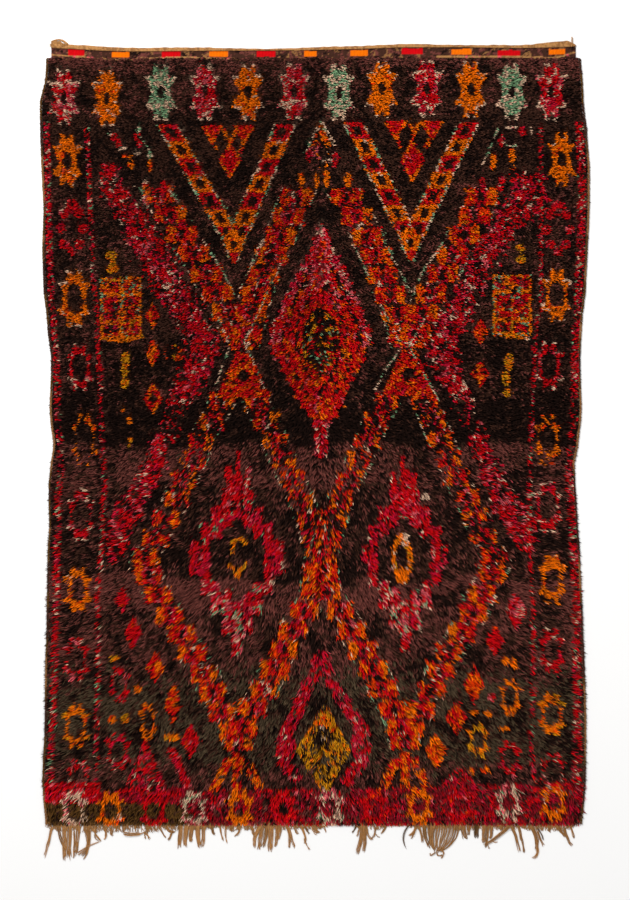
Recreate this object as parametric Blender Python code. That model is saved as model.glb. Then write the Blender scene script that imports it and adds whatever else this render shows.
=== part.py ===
"""A knotted wool pile rug lying flat: pile body, flat-woven end, two bound selvedges and a warp fringe.

Metres, +Z up. X runs across the rug, +Y up its length to the flat-woven end, and the fringe lies at -Y.
The origin is on the floor, under the middle of the outline.
"""

import math
from collections import namedtuple

import bmesh
import bpy

# Driving sizes
GAP = 0.0004
BODY_TOP = 1.377
BODY_FOOT = -1.304
FOOT_WAVE = 0.003
FOOT_WAVES = 3.0

PILE_DEPTH = 0.020
RIM_DEPTH = 0.011
RIM_REACH = 0.045
SWELL = 0.0012
SWELL_LENGTH_X = 0.43
SWELL_LENGTH_Y = 0.61

SELVEDGE_WIDTH = 0.009
SELVEDGE_DEPTH = 0.008
SELVEDGE_SIDE = 0.004

HEADING_LEFT = -0.922
HEADING_RIGHT = 0.915
HEADING_DEPTH = 0.004
HEM_DEPTH = 0.007
HEM_SHARE = 0.45

FRINGE_DEPTH = 0.0035
FRINGE_BAND = 0.008
STRAND_TIP_SHARE = 0.45
STRAND_SHOULDER = 0.6
STRAND_TAPER = 0.9

# Spacing of the mesh lines across and along the body
LINE_STEP = 0.075
RIM_LINES = (0.012, 0.028)
HEADING_LINES = 24
HEM_RAMP = 0.08

# The side edges of the rug: how far up it, and the outside of each selvedge there
Edge = namedtuple("Edge", "up left right")
EDGES = (
    Edge(-1.304, -0.943, 0.938),
    Edge(-1.167, -0.954, 0.950),
    Edge(-0.940, -0.945, 0.952),
    Edge(-0.765, -0.944, 0.947),
    Edge(-0.590, -0.938, 0.940),
    Edge(-0.380, -0.936, 0.931),
    Edge(-0.240, -0.929, 0.922),
    Edge(-0.135, -0.933, 0.915),
    Edge(-0.058, -0.926, 0.908),
    Edge(0.012, -0.915, 0.924),
    Edge(0.145, -0.928, 0.936),
    Edge(0.313, -0.922, 0.931),
    Edge(0.443, -0.936, 0.936),
    Edge(0.565, -0.949, 0.950),
    Edge(0.705, -0.954, 0.957),
    Edge(0.845, -0.949, 0.964),
    Edge(1.003, -0.957, 0.964),
    Edge(1.125, -0.961, 0.954),
    Edge(1.213, -0.964, 0.943),
    Edge(1.286, -0.943, 0.940),
    Edge(1.377, -0.940, 0.933),
)

# The outer edge of the flat-woven end, from left to right
HemPoint = namedtuple("HemPoint", "across up")
HEM_LINE = (
    HemPoint(-0.922, 1.437),
    HemPoint(-0.859, 1.424),
    HemPoint(-0.754, 1.418),
    HemPoint(-0.646, 1.412),
    HemPoint(-0.446, 1.414),
    HemPoint(-0.166, 1.409),
    HemPoint(0.124, 1.418),
    HemPoint(0.334, 1.426),
    HemPoint(0.509, 1.422),
    HemPoint(0.726, 1.422),
    HemPoint(0.884, 1.437),
    HemPoint(0.915, 1.422),
)

# Creases where the rug was folded: the direction, the place, and the trough's depth and half-width
Crease = namedtuple("Crease", "runs at depth reach")
CREASES = (
    Crease("across", 1.153, 0.003, 0.016),
    Crease("across", 0.166, 0.002, 0.016),
    Crease("across", 0.040, 0.004, 0.020),
    Crease("along", 0.019, 0.003, 0.016),
)

# The fringe: each strand or tassel's middle at its root, its width, its length and its drift to +X
Strand = namedtuple("Strand", "at width length drift")
STRANDS = (
    Strand(-0.930, 0.022, 0.119, 0.002),
    Strand(-0.866, 0.036, 0.130, 0.004),
    Strand(-0.812, 0.046, 0.1328, 0.006),
    Strand(-0.737, 0.040, 0.060, 0.004),
    Strand(-0.623, 0.056, 0.053, -0.003),
    Strand(-0.516, 0.040, 0.060, 0.003),
    Strand(-0.431, 0.070, 0.088, 0.002),
    Strand(-0.351, 0.034, 0.060, 0.003),
    Strand(-0.316, 0.010, 0.067, 0.004),
    Strand(-0.270, 0.024, 0.045, -0.002),
    Strand(-0.168, 0.076, 0.095, 0.005),
    Strand(-0.086, 0.028, 0.091, 0.003),
    Strand(-0.036, 0.026, 0.088, 0.002),
    Strand(0.012, 0.036, 0.035, 0.003),
    Strand(0.156, 0.038, 0.102, 0.004),
    Strand(0.208, 0.030, 0.053, -0.003),
    Strand(0.248, 0.022, 0.035, 0.002),
    Strand(0.315, 0.010, 0.091, 0.008),
    Strand(0.348, 0.030, 0.053, -0.002),
    Strand(0.384, 0.026, 0.067, 0.003),
    Strand(0.448, 0.070, 0.112, 0.004),
    Strand(0.528, 0.030, 0.060, 0.003),
    Strand(0.568, 0.022, 0.053, 0.002),
    Strand(0.618, 0.046, 0.091, 0.010),
    Strand(0.722, 0.044, 0.105, 0.003),
    Strand(0.776, 0.024, 0.123, 0.004),
    Strand(0.808, 0.022, 0.080, 0.003),
    Strand(0.854, 0.040, 0.038, -0.002),
    Strand(0.903, 0.034, 0.080, 0.002),
)


def read(rows, known, at, wanted):
    """The wanted column of a table at one value of the known column, easing in and out of each row."""
    at = min(max(at, getattr(rows[0], known)), getattr(rows[-1], known))
    for low, high in zip(rows, rows[1:]):
        if at <= getattr(high, known):
            break
    start, end = getattr(low, known), getattr(high, known)
    share = (at - start) / (end - start)
    share = share * share * (3.0 - 2.0 * share)
    return getattr(low, wanted) * (1.0 - share) + getattr(high, wanted) * share


def foot_at(share):
    """The wavy lower edge of the body, at a share of the way across."""
    return BODY_FOOT + FOOT_WAVE * math.sin(2.0 * math.pi * FOOT_WAVES * share)


def lines_between(low, high, features):
    """Even mesh lines from low to high, closer beside the rims and across each crease."""
    count = round((high - low) / LINE_STEP)
    extra = [low + rim for rim in RIM_LINES] + [high - rim for rim in RIM_LINES]
    for middle, reach in features:
        extra += [middle - reach, middle - reach / 2, middle, middle + reach / 2, middle + reach]
    even = [low + (high - low) * n / count for n in range(count + 1)]
    clear = [line for line in even[1:-1] if min(abs(line - other) for other in extra) > LINE_STEP / 4]
    return sorted([low, high] + clear + extra)


ACROSS_CREASES = [(crease.at, crease.reach) for crease in CREASES if crease.runs == "across"]
ALONG_CREASES = [(crease.at, crease.reach) for crease in CREASES if crease.runs == "along"]
ROWS = lines_between(BODY_FOOT, BODY_TOP, ACROSS_CREASES)
HALF_WIDTH = EDGES[0].right
COLUMNS = lines_between(-HALF_WIDTH, HALF_WIDTH, ALONG_CREASES)
SHARES_UP = [(row - BODY_FOOT) / (BODY_TOP - BODY_FOOT) for row in ROWS]
SHARES_ACROSS = [(column + HALF_WIDTH) / (2.0 * HALF_WIDTH) for column in COLUMNS]


def body_point(across, up):
    """A point of the body's plan, for shares across and up."""
    foot = foot_at(across)
    y = foot + up * (BODY_TOP - foot)
    level = BODY_FOOT + up * (BODY_TOP - BODY_FOOT)
    left = read(EDGES, "up", level, "left") + SELVEDGE_WIDTH
    right = read(EDGES, "up", level, "right") - SELVEDGE_WIDTH
    return left + across * (right - left), y


def crease_drop(across, up):
    """How far the creases sink the pile at one point."""
    x = -HALF_WIDTH + 2.0 * HALF_WIDTH * across
    y = BODY_FOOT + up * (BODY_TOP - BODY_FOOT)
    drop = 0.0
    for crease in CREASES:
        off = (y if crease.runs == "across" else x) - crease.at
        drop = max(drop, crease.depth * math.exp(-2.0 * (off / crease.reach) ** 2))
    return drop


def body_height(across, up):
    """The top of the pile: low at the rims, sunk along the creases and gently uneven."""
    x, y = body_point(across, up)
    width, length = 2.0 * HALF_WIDTH, BODY_TOP - BODY_FOOT
    inside = min(across * width, (1.0 - across) * width, up * length, (1.0 - up) * length)
    share = min(inside / RIM_REACH, 1.0)
    crown = RIM_DEPTH + (PILE_DEPTH - RIM_DEPTH) * math.sin(share * math.pi / 2.0)
    wave = math.sin(2.0 * math.pi * x / SWELL_LENGTH_X) * math.cos(2.0 * math.pi * y / SWELL_LENGTH_Y)
    return crown + share * (SWELL * wave - crease_drop(across, up))


def selvedge_point(side, across, up):
    """A point of a selvedge's plan. The body's own edge runs beside it, a gap away."""
    foot = foot_at(0.0 if side < 0 else 1.0)
    y = foot + up * (BODY_TOP - foot)
    level = BODY_FOOT + up * (BODY_TOP - BODY_FOOT)
    outer = read(EDGES, "up", level, "left" if side < 0 else "right")
    inward = across * (SELVEDGE_WIDTH - GAP)
    return (outer + inward if side < 0 else outer - inward), y


def selvedge_height(across, up):
    """A rounded back on a flat underside."""
    return SELVEDGE_SIDE + (SELVEDGE_DEPTH - SELVEDGE_SIDE) * math.sin(math.pi * across)


def heading_point(across, up):
    """A point of the flat-woven end's plan, from the body's top line to the hem line."""
    x = HEADING_LEFT + across * (HEADING_RIGHT - HEADING_LEFT)
    root = BODY_TOP + GAP
    return x, root + up * (read(HEM_LINE, "across", x, "up") - root)


def heading_height(across, up):
    """Flat weave, then the thicker turned hem along the outer edge."""
    return HEM_DEPTH if up > 1.0 - HEM_SHARE else HEADING_DEPTH


def wool(name, colour, roughness):
    """A plain material in the wool's own colour."""
    material = bpy.data.materials.new(name)
    material.use_nodes = True
    shader = material.node_tree.nodes["Principled BSDF"]
    shader.inputs["Base Color"].default_value = (*colour, 1.0)
    shader.inputs["Roughness"].default_value = roughness
    shader.inputs["Metallic"].default_value = 0.0
    return material


def laid_solid(name, shares_across, shares_up, plan, height, material, collection):
    """A closed solid on the floor: a grid laid out by plan(), raised by height(), with one flat underside."""
    columns, rows = len(shares_across) - 1, len(shares_up) - 1
    bm = bmesh.new()
    bmesh.ops.create_grid(bm, x_segments=columns, y_segments=rows, size=0.5)
    underside = bm.faces[:]
    places = {}
    for vert in bm.verts:
        across = shares_across[round((vert.co.x + 0.5) * columns)]
        up = shares_up[round((vert.co.y + 0.5) * rows)]
        vert.co.x, vert.co.y = plan(across, up)
        vert.co.z = 0.0
        places[vert.co.to_tuple(7)] = (across, up)
    raised = bmesh.ops.extrude_face_region(bm, geom=underside)["geom"]
    for vert in [item for item in raised if isinstance(item, bmesh.types.BMVert)]:
        vert.co.z = height(*places[vert.co.to_tuple(7)])
    bmesh.ops.dissolve_faces(bm, faces=underside)
    bmesh.ops.recalc_face_normals(bm, faces=bm.faces[:])
    mesh = bpy.data.meshes.new(name)
    bm.to_mesh(mesh)
    bm.free()
    mesh.materials.append(material)
    piece = bpy.data.objects.new(name, mesh)
    collection.objects.link(piece)
    return piece


def comb_outline():
    """The fringe seen from above: its root line beside the body, then each strand out and back."""
    points = []
    for across in SHARES_ACROSS:
        x, y = body_point(across, 0.0)
        points.append((x, y - GAP))
    right, left = points[-1][0], points[0][0]
    band = BODY_FOOT - FOOT_WAVE - FRINGE_BAND
    points.append((right, band))
    for strand in reversed(STRANDS):
        half, end = strand.width / 2.0, BODY_FOOT - strand.length
        shoulder = band + STRAND_SHOULDER * (end - band)
        lean = strand.drift * STRAND_SHOULDER
        tip = half * STRAND_TIP_SHARE
        points += [
            (min(strand.at + half, right), band),
            (strand.at + lean + half * STRAND_TAPER, shoulder),
            (strand.at + strand.drift + tip, end),
            (strand.at + strand.drift - tip, end),
            (strand.at + lean - half * STRAND_TAPER, shoulder),
            (max(strand.at - half, left), band),
        ]
    points.append((left, band))
    return points


def comb(name, material, collection):
    """One flat comb of fringe, filled and given its thickness, lying on the floor."""
    curve = bpy.data.curves.new(name + "_outline", "CURVE")
    curve.dimensions = "2D"
    curve.fill_mode = "BOTH"
    curve.extrude = FRINGE_DEPTH / 2.0
    outline = comb_outline()
    spline = curve.splines.new("POLY")
    spline.points.add(len(outline) - 1)
    for point, (x, y) in zip(spline.points, outline):
        point.co = (x, y, 0.0, 1.0)
    spline.use_cyclic_u = True
    drawn = bpy.data.objects.new(name + "_outline", curve)
    collection.objects.link(drawn)
    seen = drawn.evaluated_get(bpy.context.evaluated_depsgraph_get())
    mesh = bpy.data.meshes.new_from_object(seen)
    bpy.data.objects.remove(drawn)
    bm = bmesh.new()
    bm.from_mesh(mesh)
    bmesh.ops.remove_doubles(bm, verts=bm.verts[:], dist=0.00001)
    bmesh.ops.translate(bm, verts=bm.verts[:], vec=(0.0, 0.0, FRINGE_DEPTH / 2.0))
    bmesh.ops.recalc_face_normals(bm, faces=bm.faces[:])
    bm.to_mesh(mesh)
    bm.free()
    mesh.materials.clear()
    mesh.materials.append(material)
    piece = bpy.data.objects.new(name, mesh)
    collection.objects.link(piece)
    return piece


def main():
    for item in list(bpy.data.objects):
        bpy.data.objects.remove(item)
    rug = bpy.data.collections.new("pile_rug")
    bpy.context.scene.collection.children.link(rug)

    pile_wool = wool("pile_wool", (0.11, 0.025, 0.02), 0.95)
    end_wool = wool("end_wool", (0.13, 0.06, 0.035), 0.9)
    binding_wool = wool("binding_wool", (0.16, 0.09, 0.05), 0.9)
    warp_wool = wool("warp_wool", (0.42, 0.26, 0.14), 0.9)

    laid_solid("pile_body", SHARES_ACROSS, SHARES_UP, body_point, body_height, pile_wool, rug)

    thirds = [0.0, 0.2, 0.5, 0.8, 1.0]
    for name, side in (("selvedge_left", -1), ("selvedge_right", 1)):
        def plan(across, up, side=side):
            return selvedge_point(side, across, up)

        laid_solid(name, thirds, SHARES_UP, plan, selvedge_height, binding_wool, rug)

    width = HEADING_RIGHT - HEADING_LEFT
    stations = sorted({(point.across - HEADING_LEFT) / width for point in HEM_LINE}
                      | {n / HEADING_LINES for n in range(HEADING_LINES + 1)})
    hem_foot = 1.0 - HEM_SHARE
    levels = [0.0, hem_foot, hem_foot + HEM_RAMP, 1.0]
    laid_solid("flatwoven_end", stations, levels, heading_point, heading_height, end_wool, rug)

    comb("fringe", warp_wool, rug)


main()
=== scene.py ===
# %% [markdown]
# A knotted wool rug from the Moroccan hills, lying flat and seen from straight above.
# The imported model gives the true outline, the height of the pile and the creases. This lesson ties the
# rug again on that frame: a web, some forty thousand knots of long wool, bound sides, a flat-woven end
# and a fringe of loose warps.

from collections import namedtuple

import bmesh
import bpy
import numpy as np
from mathutils import Matrix, Vector
from mathutils.bvhtree import BVHTree


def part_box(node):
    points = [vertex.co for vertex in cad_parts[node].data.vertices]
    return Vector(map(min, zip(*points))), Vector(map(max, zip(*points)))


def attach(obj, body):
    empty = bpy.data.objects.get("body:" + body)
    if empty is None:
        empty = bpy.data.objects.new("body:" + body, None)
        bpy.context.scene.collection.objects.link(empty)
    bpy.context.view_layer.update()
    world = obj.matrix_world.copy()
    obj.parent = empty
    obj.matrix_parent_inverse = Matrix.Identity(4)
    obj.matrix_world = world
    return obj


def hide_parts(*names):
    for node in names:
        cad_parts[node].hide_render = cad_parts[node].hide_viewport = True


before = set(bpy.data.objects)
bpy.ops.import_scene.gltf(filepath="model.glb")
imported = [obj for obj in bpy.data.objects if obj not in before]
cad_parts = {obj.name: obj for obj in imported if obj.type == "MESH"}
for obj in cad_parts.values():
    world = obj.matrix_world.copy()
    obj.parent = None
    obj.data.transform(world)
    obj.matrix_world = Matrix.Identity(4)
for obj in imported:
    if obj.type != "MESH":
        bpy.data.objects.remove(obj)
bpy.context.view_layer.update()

# %% [markdown]
# The rug was photographed face on, so the camera hangs straight above it. A long lens from high up keeps
# the sides parallel. The pattern is charted in squares of 3.5 mm, as a weaver counts them, from the
# corner of the sheet that the rug is drawn on.

# %% Camera and chart squares
SQUARE = 0.0035
MIDDLE_COL = 314.5
MIDDLE_ROW = 451.5
SHEET_COLS = 630
SHEET_ROWS = 900
LENS = 100.0
SENSOR = 36.0

camera = bpy.data.objects.new("camera", bpy.data.cameras.new("camera"))
bpy.context.collection.objects.link(camera)
camera.data.lens = LENS
camera.data.sensor_width = SENSOR
camera.data.clip_end = 60.0
camera.location = (
    (SHEET_COLS / 2 - MIDDLE_COL) * SQUARE,
    (MIDDLE_ROW - SHEET_ROWS / 2) * SQUARE,
    SHEET_ROWS * SQUARE * LENS / SENSOR,
)
bpy.context.scene.camera = camera
print("camera hangs at", round(camera.location.z, 2), "m")

# %% [markdown]
# A plain studio: a pale floor, an even white sky and one large soft lamp from the upper left, which
# models the locks of wool without casting hard shadows.

# %% Floor and light
bpy.context.scene.view_settings.view_transform = "Standard"

bm = bmesh.new()
bmesh.ops.create_grid(bm, x_segments=1, y_segments=1, size=12.0)
floor = bpy.data.objects.new("floor", bpy.data.meshes.new("floor"))
bm.to_mesh(floor.data)
bm.free()
bpy.context.collection.objects.link(floor)
floor.location.z = -0.0002

world = bpy.data.worlds.new("studio")
world.use_nodes = True
world.node_tree.nodes["Background"].inputs["Color"].default_value = (1.0, 0.985, 0.965, 1.0)
world.node_tree.nodes["Background"].inputs["Strength"].default_value = 0.55
bpy.context.scene.world = world


def lamp(name, place, size, power):
    """A square area lamp that faces the middle of the rug."""
    data = bpy.data.lights.new(name, "AREA")
    data.size = size
    data.energy = power
    light = bpy.data.objects.new(name, data)
    light.location = place
    light.rotation_euler = (-Vector(place)).to_track_quat("-Z", "Y").to_euler()
    bpy.context.collection.objects.link(light)
    return light


lamp("key", (-2.6, 3.6, 4.6), 2.4, 330.0)
lamp("fill", (3.4, -1.6, 5.0), 4.0, 60.0)

# %% [markdown]
# Shader sums read best as plain Python. `Wire` wraps a socket, so that adding or multiplying it adds
# the Math node for it, and `Finish.node` adds any other node from its type, settings and inputs.


# %% A small language for finishes
class Wire:
    """A node's output that Python's operators work on."""

    def __init__(self, finish, socket):
        self.finish = finish
        self.socket = socket

    def maths(self, operation, *values):
        inputs = dict(enumerate(values))
        return self.finish.node("ShaderNodeMath", {"operation": operation}, inputs)

    def __add__(self, other):
        return self.maths("ADD", self, other)

    def __mul__(self, other):
        return self.maths("MULTIPLY", self, other)

    def __sub__(self, other):
        return self.maths("SUBTRACT", self, other)

    def __rsub__(self, other):
        return self.maths("SUBTRACT", other, self)

    __radd__ = __add__
    __rmul__ = __mul__


class Finish:
    """A material with one method that adds and joins its nodes."""

    def __init__(self, name, **shader):
        self.material = bpy.data.materials.new(name)
        self.material.use_nodes = True
        self.tree = self.material.node_tree
        self.shader = self.tree.nodes["Principled BSDF"]
        for socket, value in shader.items():
            self.shader.inputs[socket.replace("_", " ")].default_value = value

    def put(self, value, socket):
        """Links a value that varies, or sets one that doesn't."""
        if isinstance(value, Wire):
            self.tree.links.new(value.socket, socket)
        else:
            socket.default_value = value

    def node(self, kind, settings=None, inputs=None, output=0):
        made = self.tree.nodes.new(kind)
        for name, value in (settings or {}).items():
            setattr(made, name, value)
        for name, value in (inputs or {}).items():
            self.put(value, made.inputs[name])
        return Wire(self, made.outputs[output])

    def set(self, **inputs):
        for name, value in inputs.items():
            self.put(value, self.shader.inputs[name.replace("_", " ")])

    def place(self):
        """Where a point is on the rug, in metres."""
        return self.node("ShaderNodeTexCoord", output="Object")

    def noise(self, size, detail=2.0, stretch=(1.0, 1.0, 1.0)):
        """Soft random patches of a size in metres, drawn out by a stretch along each axis."""
        scale = tuple(1.0 / (size * s) for s in stretch)
        spot = self.node("ShaderNodeMapping", {}, {"Vector": self.place(), "Scale": scale})
        return self.node("ShaderNodeTexNoise", {}, {"Vector": spot, "Scale": 1.0, "Detail": detail})

    def ribs(self, pitch, axis, warp=0.0):
        """Evenly spaced ribs across one axis, from 0 in the groove to 1 on the crest."""
        scale = 2.0 * np.pi / pitch / 20.0
        settings = {"bands_direction": axis, "wave_profile": "SIN"}
        inputs = {"Vector": self.place(), "Scale": scale, "Distortion": warp, "Detail": 1.0}
        return self.node("ShaderNodeTexWave", settings, inputs)

    def dyed(self, tone):
        """The yarn's own colour, lighter or darker by a tone that varies."""
        yarn = self.node("ShaderNodeVertexColor", {"layer_name": "yarn"})
        return self.node("ShaderNodeVectorMath", {"operation": "SCALE"}, {0: yarn, "Scale": tone})

    def relief(self, height, depth, strength=1.0):
        """A bump whose height runs from 0 to 1 over a depth in metres."""
        inputs = {"Height": height, "Distance": depth, "Strength": strength}
        return self.node("ShaderNodeBump", {}, inputs)


WOOL = dict(Sheen_Weight=0.02, Sheen_Tint=(1.0, 0.7, 0.5, 1.0), Specular_IOR_Level=0.04)

# %% [markdown]
# The floor is plain: nearly white, matt, and without a pattern that could draw the eye from the rug.

# %% Floor finish
pale_floor = Finish("pale_floor", Base_Color=(0.93, 0.93, 0.93, 1.0), Roughness=0.9)
floor.data.materials.append(pale_floor.material)

# %% [markdown]
# Everything that follows lies on the frame, so the frame is measured first. Rays from above read the
# height of the pile, and rays from each side read where its edges run.


# %% Measure the frame
def tree_of(node):
    """A search tree over a CAD node's mesh, for rays."""
    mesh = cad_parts[node].data
    corners = [vertex.co[:] for vertex in mesh.vertices]
    return BVHTree.FromPolygons(corners, [tuple(face.vertices) for face in mesh.polygons])


body = tree_of("pile_body")
body_low, body_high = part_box("pile_body")
FOOT = body_low[1]
TOP = body_high[1]
STEP = 0.01
EDGE_HEIGHT = 0.003
OUTSIDE = 2.0

edge_ups = np.arange(FOOT + 0.004, TOP, STEP)
left_edge = []
right_edge = []
for up in edge_ups:
    left_edge.append(body.ray_cast((-OUTSIDE, up, EDGE_HEIGHT), (1, 0, 0))[0].x)
    right_edge.append(body.ray_cast((OUTSIDE, up, EDGE_HEIGHT), (-1, 0, 0))[0].x)

grid_x = np.arange(-1.0, 1.0 + STEP, STEP)
grid_y = np.arange(-1.4, 1.4 + STEP, STEP)
heights = np.zeros((len(grid_y), len(grid_x)))
for j, up in enumerate(grid_y):
    for i, across in enumerate(grid_x):
        hit = body.ray_cast((across, up, 0.1), (0, 0, -1))[0]
        heights[j, i] = hit.z if hit else 0.004


def height_at(x, y):
    """The height of the pile's surface, between the rays that were cast."""
    i = np.clip((x - grid_x[0]) / STEP, 0, len(grid_x) - 1.001)
    j = np.clip((y - grid_y[0]) / STEP, 0, len(grid_y) - 1.001)
    i0 = i.astype(int)
    j0 = j.astype(int)
    fi = i - i0
    fj = j - j0
    low = heights[j0, i0] * (1 - fi) + heights[j0, i0 + 1] * fi
    high = heights[j0 + 1, i0] * (1 - fi) + heights[j0 + 1, i0 + 1] * fi
    return low * (1 - fj) + high * fj


print("pile up to", round(float(heights.max()) * 1000, 1), "mm deep")

# %% [markdown]
# The yarns. Hand-spun wool takes its dye unevenly, so a colour is a family: a red patch holds some
# crimson, some pink and a fleck of undyed wool. Each mix below is such a family, as shares of yarns, and
# `keep` leaves the knot that was there before.

# %% Yarns and mixes
YARNS = {
    "black": (32, 18, 14),
    "brown": (70, 42, 32),
    "mauve": (116, 62, 54),
    "olive": (84, 68, 50),
    "bark": (98, 66, 30),
    "wine": (140, 20, 32),
    "red": (214, 8, 18),
    "crimson": (204, 18, 50),
    "rose": (228, 92, 100),
    "vermilion": (240, 62, 4),
    "orange": (255, 118, 4),
    "gold": (214, 140, 16),
    "pale": (234, 190, 158),
    "green": (126, 166, 122),
    "tan": (184, 132, 80),
    "fawn": (150, 104, 62),
}
YARN_NAMES = list(YARNS)

SOLID_RED = dict(red=0.84, crimson=0.08, vermilion=0.06, rose=0.02)
SOLID_ORANGE = dict(orange=0.92, vermilion=0.06, pale=0.02)
PINK_RED = dict(red=0.54, crimson=0.16, rose=0.16, pale=0.14)
SAGE = dict(green=0.58, pale=0.42)
RED_ORANGE = dict(red=0.44, vermilion=0.30, orange=0.22, black=0.04)
OPEN_RED = dict(red=0.66, crimson=0.10, rose=0.06, pale=0.04, keep=0.14)
OPEN_ORANGE = dict(orange=0.80, vermilion=0.12, keep=0.08)
HONEY = dict(gold=0.50, orange=0.40, keep=0.10)
FAINT_RED = dict(red=0.44, rose=0.08, pale=0.06, keep=0.42)
FAINT_ORANGE = dict(orange=0.46, vermilion=0.10, keep=0.44)
DARK = dict(black=0.80, brown=0.20)


def linear(colour):
    """A colour of 0 to 255 as the plain amounts of light that the shader takes."""
    share = np.array(colour) / 255.0
    return np.where(share <= 0.04045, share / 12.92, ((share + 0.055) / 1.055) ** 2.4)


YARN_LIGHT = np.array([linear(YARNS[name]) for name in YARN_NAMES])
print(len(YARNS), "yarns")

# %% [markdown]
# A weaver works from a chart. Here the chart is painted: each motif is a mask over all the knots, worked
# out from a centre and a size, and the knots under the mask get a mix of yarns. Later motifs cover
# earlier ones, as a painter works. Random draws come from one seeded source, so the rug is the same
# rug each time.

# %% The chart and its brushes
rng = np.random.default_rng(1923)
Stop = namedtuple("Stop", "row middle half")


def waves(col, row, size, seed):
    """Smooth noise of about -1 to 1, from a few sine waves that cross."""
    draw = np.random.default_rng(seed)
    total = np.zeros(col.shape)
    for _ in range(6):
        angle = draw.uniform(0, np.pi)
        pitch = size * draw.uniform(0.6, 1.7)
        phase = draw.uniform(0, 2 * np.pi)
        total += np.sin(2 * np.pi * (col * np.cos(angle) + row * np.sin(angle)) / pitch + phase)
    return total / 2.4


TUFT_WIDE = 3.3
TUFT_TALL = 3.3
TUFTS_ACROSS = 200
TUFTS = TUFTS_ACROSS * 300
LONERS = 0.18


class Chart:
    """One yarn number for each place, painted over motif by motif, tuft by tuft."""

    def __init__(self, col, row):
        self.col = col
        self.row = row
        self.yarn = np.zeros(col.shape, int)
        self.tuft_draws = np.random.default_rng(1931)
        tier = np.floor((row + 2.2 * waves(col, row, 17, 5)) / TUFT_TALL).astype(int)
        place = (col + 2.2 * waves(col, row, 15, 6)) / TUFT_WIDE + 0.37 * tier
        self.tuft = (tier * TUFTS_ACROSS + np.floor(place % TUFTS_ACROSS).astype(int)) % TUFTS
        self.loner = rng.random(col.shape) < LONERS

    def draw(self):
        """A random number that a tuft's knots share; a loner has its own."""
        shared = self.tuft_draws.random(TUFTS)[self.tuft]
        return np.where(self.loner, rng.random(self.col.shape), shared)

    def paint(self, where, mix, share=1.0):
        """Ties the tufts under a mask, or a share of them, in a mix of yarns."""
        names = list(mix)
        shares = np.array([mix[name] for name in names])
        pick = np.searchsorted(np.cumsum(shares / shares.sum())[:-1], self.draw())
        chosen = where & (self.draw() < share)
        for number, name in enumerate(names):
            if name != "keep":
                self.yarn[chosen & (pick == number)] = YARN_NAMES.index(name)


def fade(value, low, high, edge):
    """One between low and high, with soft edges."""
    return np.clip((value - low) / edge + 0.5, 0, 1) * np.clip((high - value) / edge + 0.5, 0, 1)


def oval(chart, col, row, wide, tall, mix):
    across = (chart.col - col) / (wide / 2)
    up = (chart.row - row) / (tall / 2)
    chart.paint(across**2 + up**2 < 1.0, mix)


def diamond(chart, col, row, wide, tall, mix, hollow=0.0):
    """A diamond, or a diamond ring where hollow is the share of it that stays open."""
    size = np.abs(chart.col - col) / (wide / 2) + np.abs(chart.row - row) / (tall / 2)
    chart.paint((size < 1.12) & (size > hollow), mix)


def line(chart, points, mix, width=1.9):
    """A line of knots through points of (col, row), as wide to each side as given."""
    for (col_a, row_a), (col_b, row_b) in zip(points, points[1:]):
        length = np.hypot(col_b - col_a, row_b - row_a)
        run = (col_b - col_a) / length
        fall = (row_b - row_a) / length
        along = (chart.col - col_a) * run + (chart.row - row_a) * fall
        off = (chart.col - col_a) * fall - (chart.row - row_a) * run
        chart.paint((along > -0.5) & (along < length) & (np.abs(off) < width), mix)


def follow(chart, stops):
    """A band's middle and half-width at each knot, and whether the knot is between its ends."""
    rows = [stop.row for stop in stops]
    middle = np.interp(chart.row, rows, [stop.middle for stop in stops])
    half = np.interp(chart.row, rows, [stop.half for stop in stops])
    return middle, half, (chart.row >= rows[0]) & (chart.row <= rows[-1])


def speckled(chart, stops, mix, ragged, size, seed):
    """A band with ragged edges in a mix of yarns."""
    middle, half, within = follow(chart, stops)
    edge = 1.0 + ragged * waves(chart.col, chart.row, size, seed)
    chart.paint(within & (np.abs(chart.col - middle) < half * edge), mix)

# %% [markdown]
# The ground. Each batch of dark wool took its dye differently, so bands of black, brown, dusty mauve and
# olive cross the rug with uneven edges. Each band is laid as a share of knots that fades at its edges.
# The near-black band across rows 402 to 446 is painted shade along a fold of the pile.

# %% Ground of dye lots and fold shade
Shade = namedtuple("Shade", "yarn top foot edge share")
DYE_LOTS_AND_FOLD_SHADE = (
    Shade("brown", 50, 125, 10, 0.62),
    Shade("mauve", 50, 70, 8, 0.60),
    Shade("mauve", 70, 116, 8, 0.20),
    Shade("brown", 122, 338, 16, 0.50),
    Shade("mauve", 180, 300, 40, 0.16),
    Shade("brown", 300, 402, 20, 0.32),
    Shade("mauve", 300, 402, 30, 0.10),
    # Little brown here, so the ground stays near black: painted shade along the fold of the pile.
    Shade("brown", 402, 446, 6, 0.12),
    Shade("brown", 446, 500, 8, 0.55),
    Shade("mauve", 446, 486, 5, 0.56),
    Shade("mauve", 484, 575, 20, 0.22),
    Shade("brown", 500, 577, 8, 0.30),
    Shade("brown", 577, 790, 8, 0.55),
    Shade("mauve", 577, 612, 4, 0.68),
    Shade("mauve", 612, 690, 10, 0.34),
    Shade("olive", 672, 768, 22, 0.46),
    Shade("mauve", 760, 792, 10, 0.24),
)


def ground(chart):
    drift = chart.row + 5 * waves(chart.col, chart.row, 130, 3)
    patch = 1 + 0.45 * waves(chart.col, chart.row, 40, 4)
    chart.paint(chart.row > 0, dict(black=1.0))
    for shade in DYE_LOTS_AND_FOLD_SHADE:
        share = shade.share * fade(drift, shade.top, shade.foot, shade.edge) * patch
        chart.paint(chart.draw() < share, {shade.yarn: 1.0})


# %% [markdown]
# The eight-armed star is the rug's most common motif. It has a waist, four arms, two prongs above and
# two below, and an open middle. One brush draws them all: solid stars with a small eye along the top,
# and open ones with a large eye down the sides. Undyed wool edges the arms.

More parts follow.
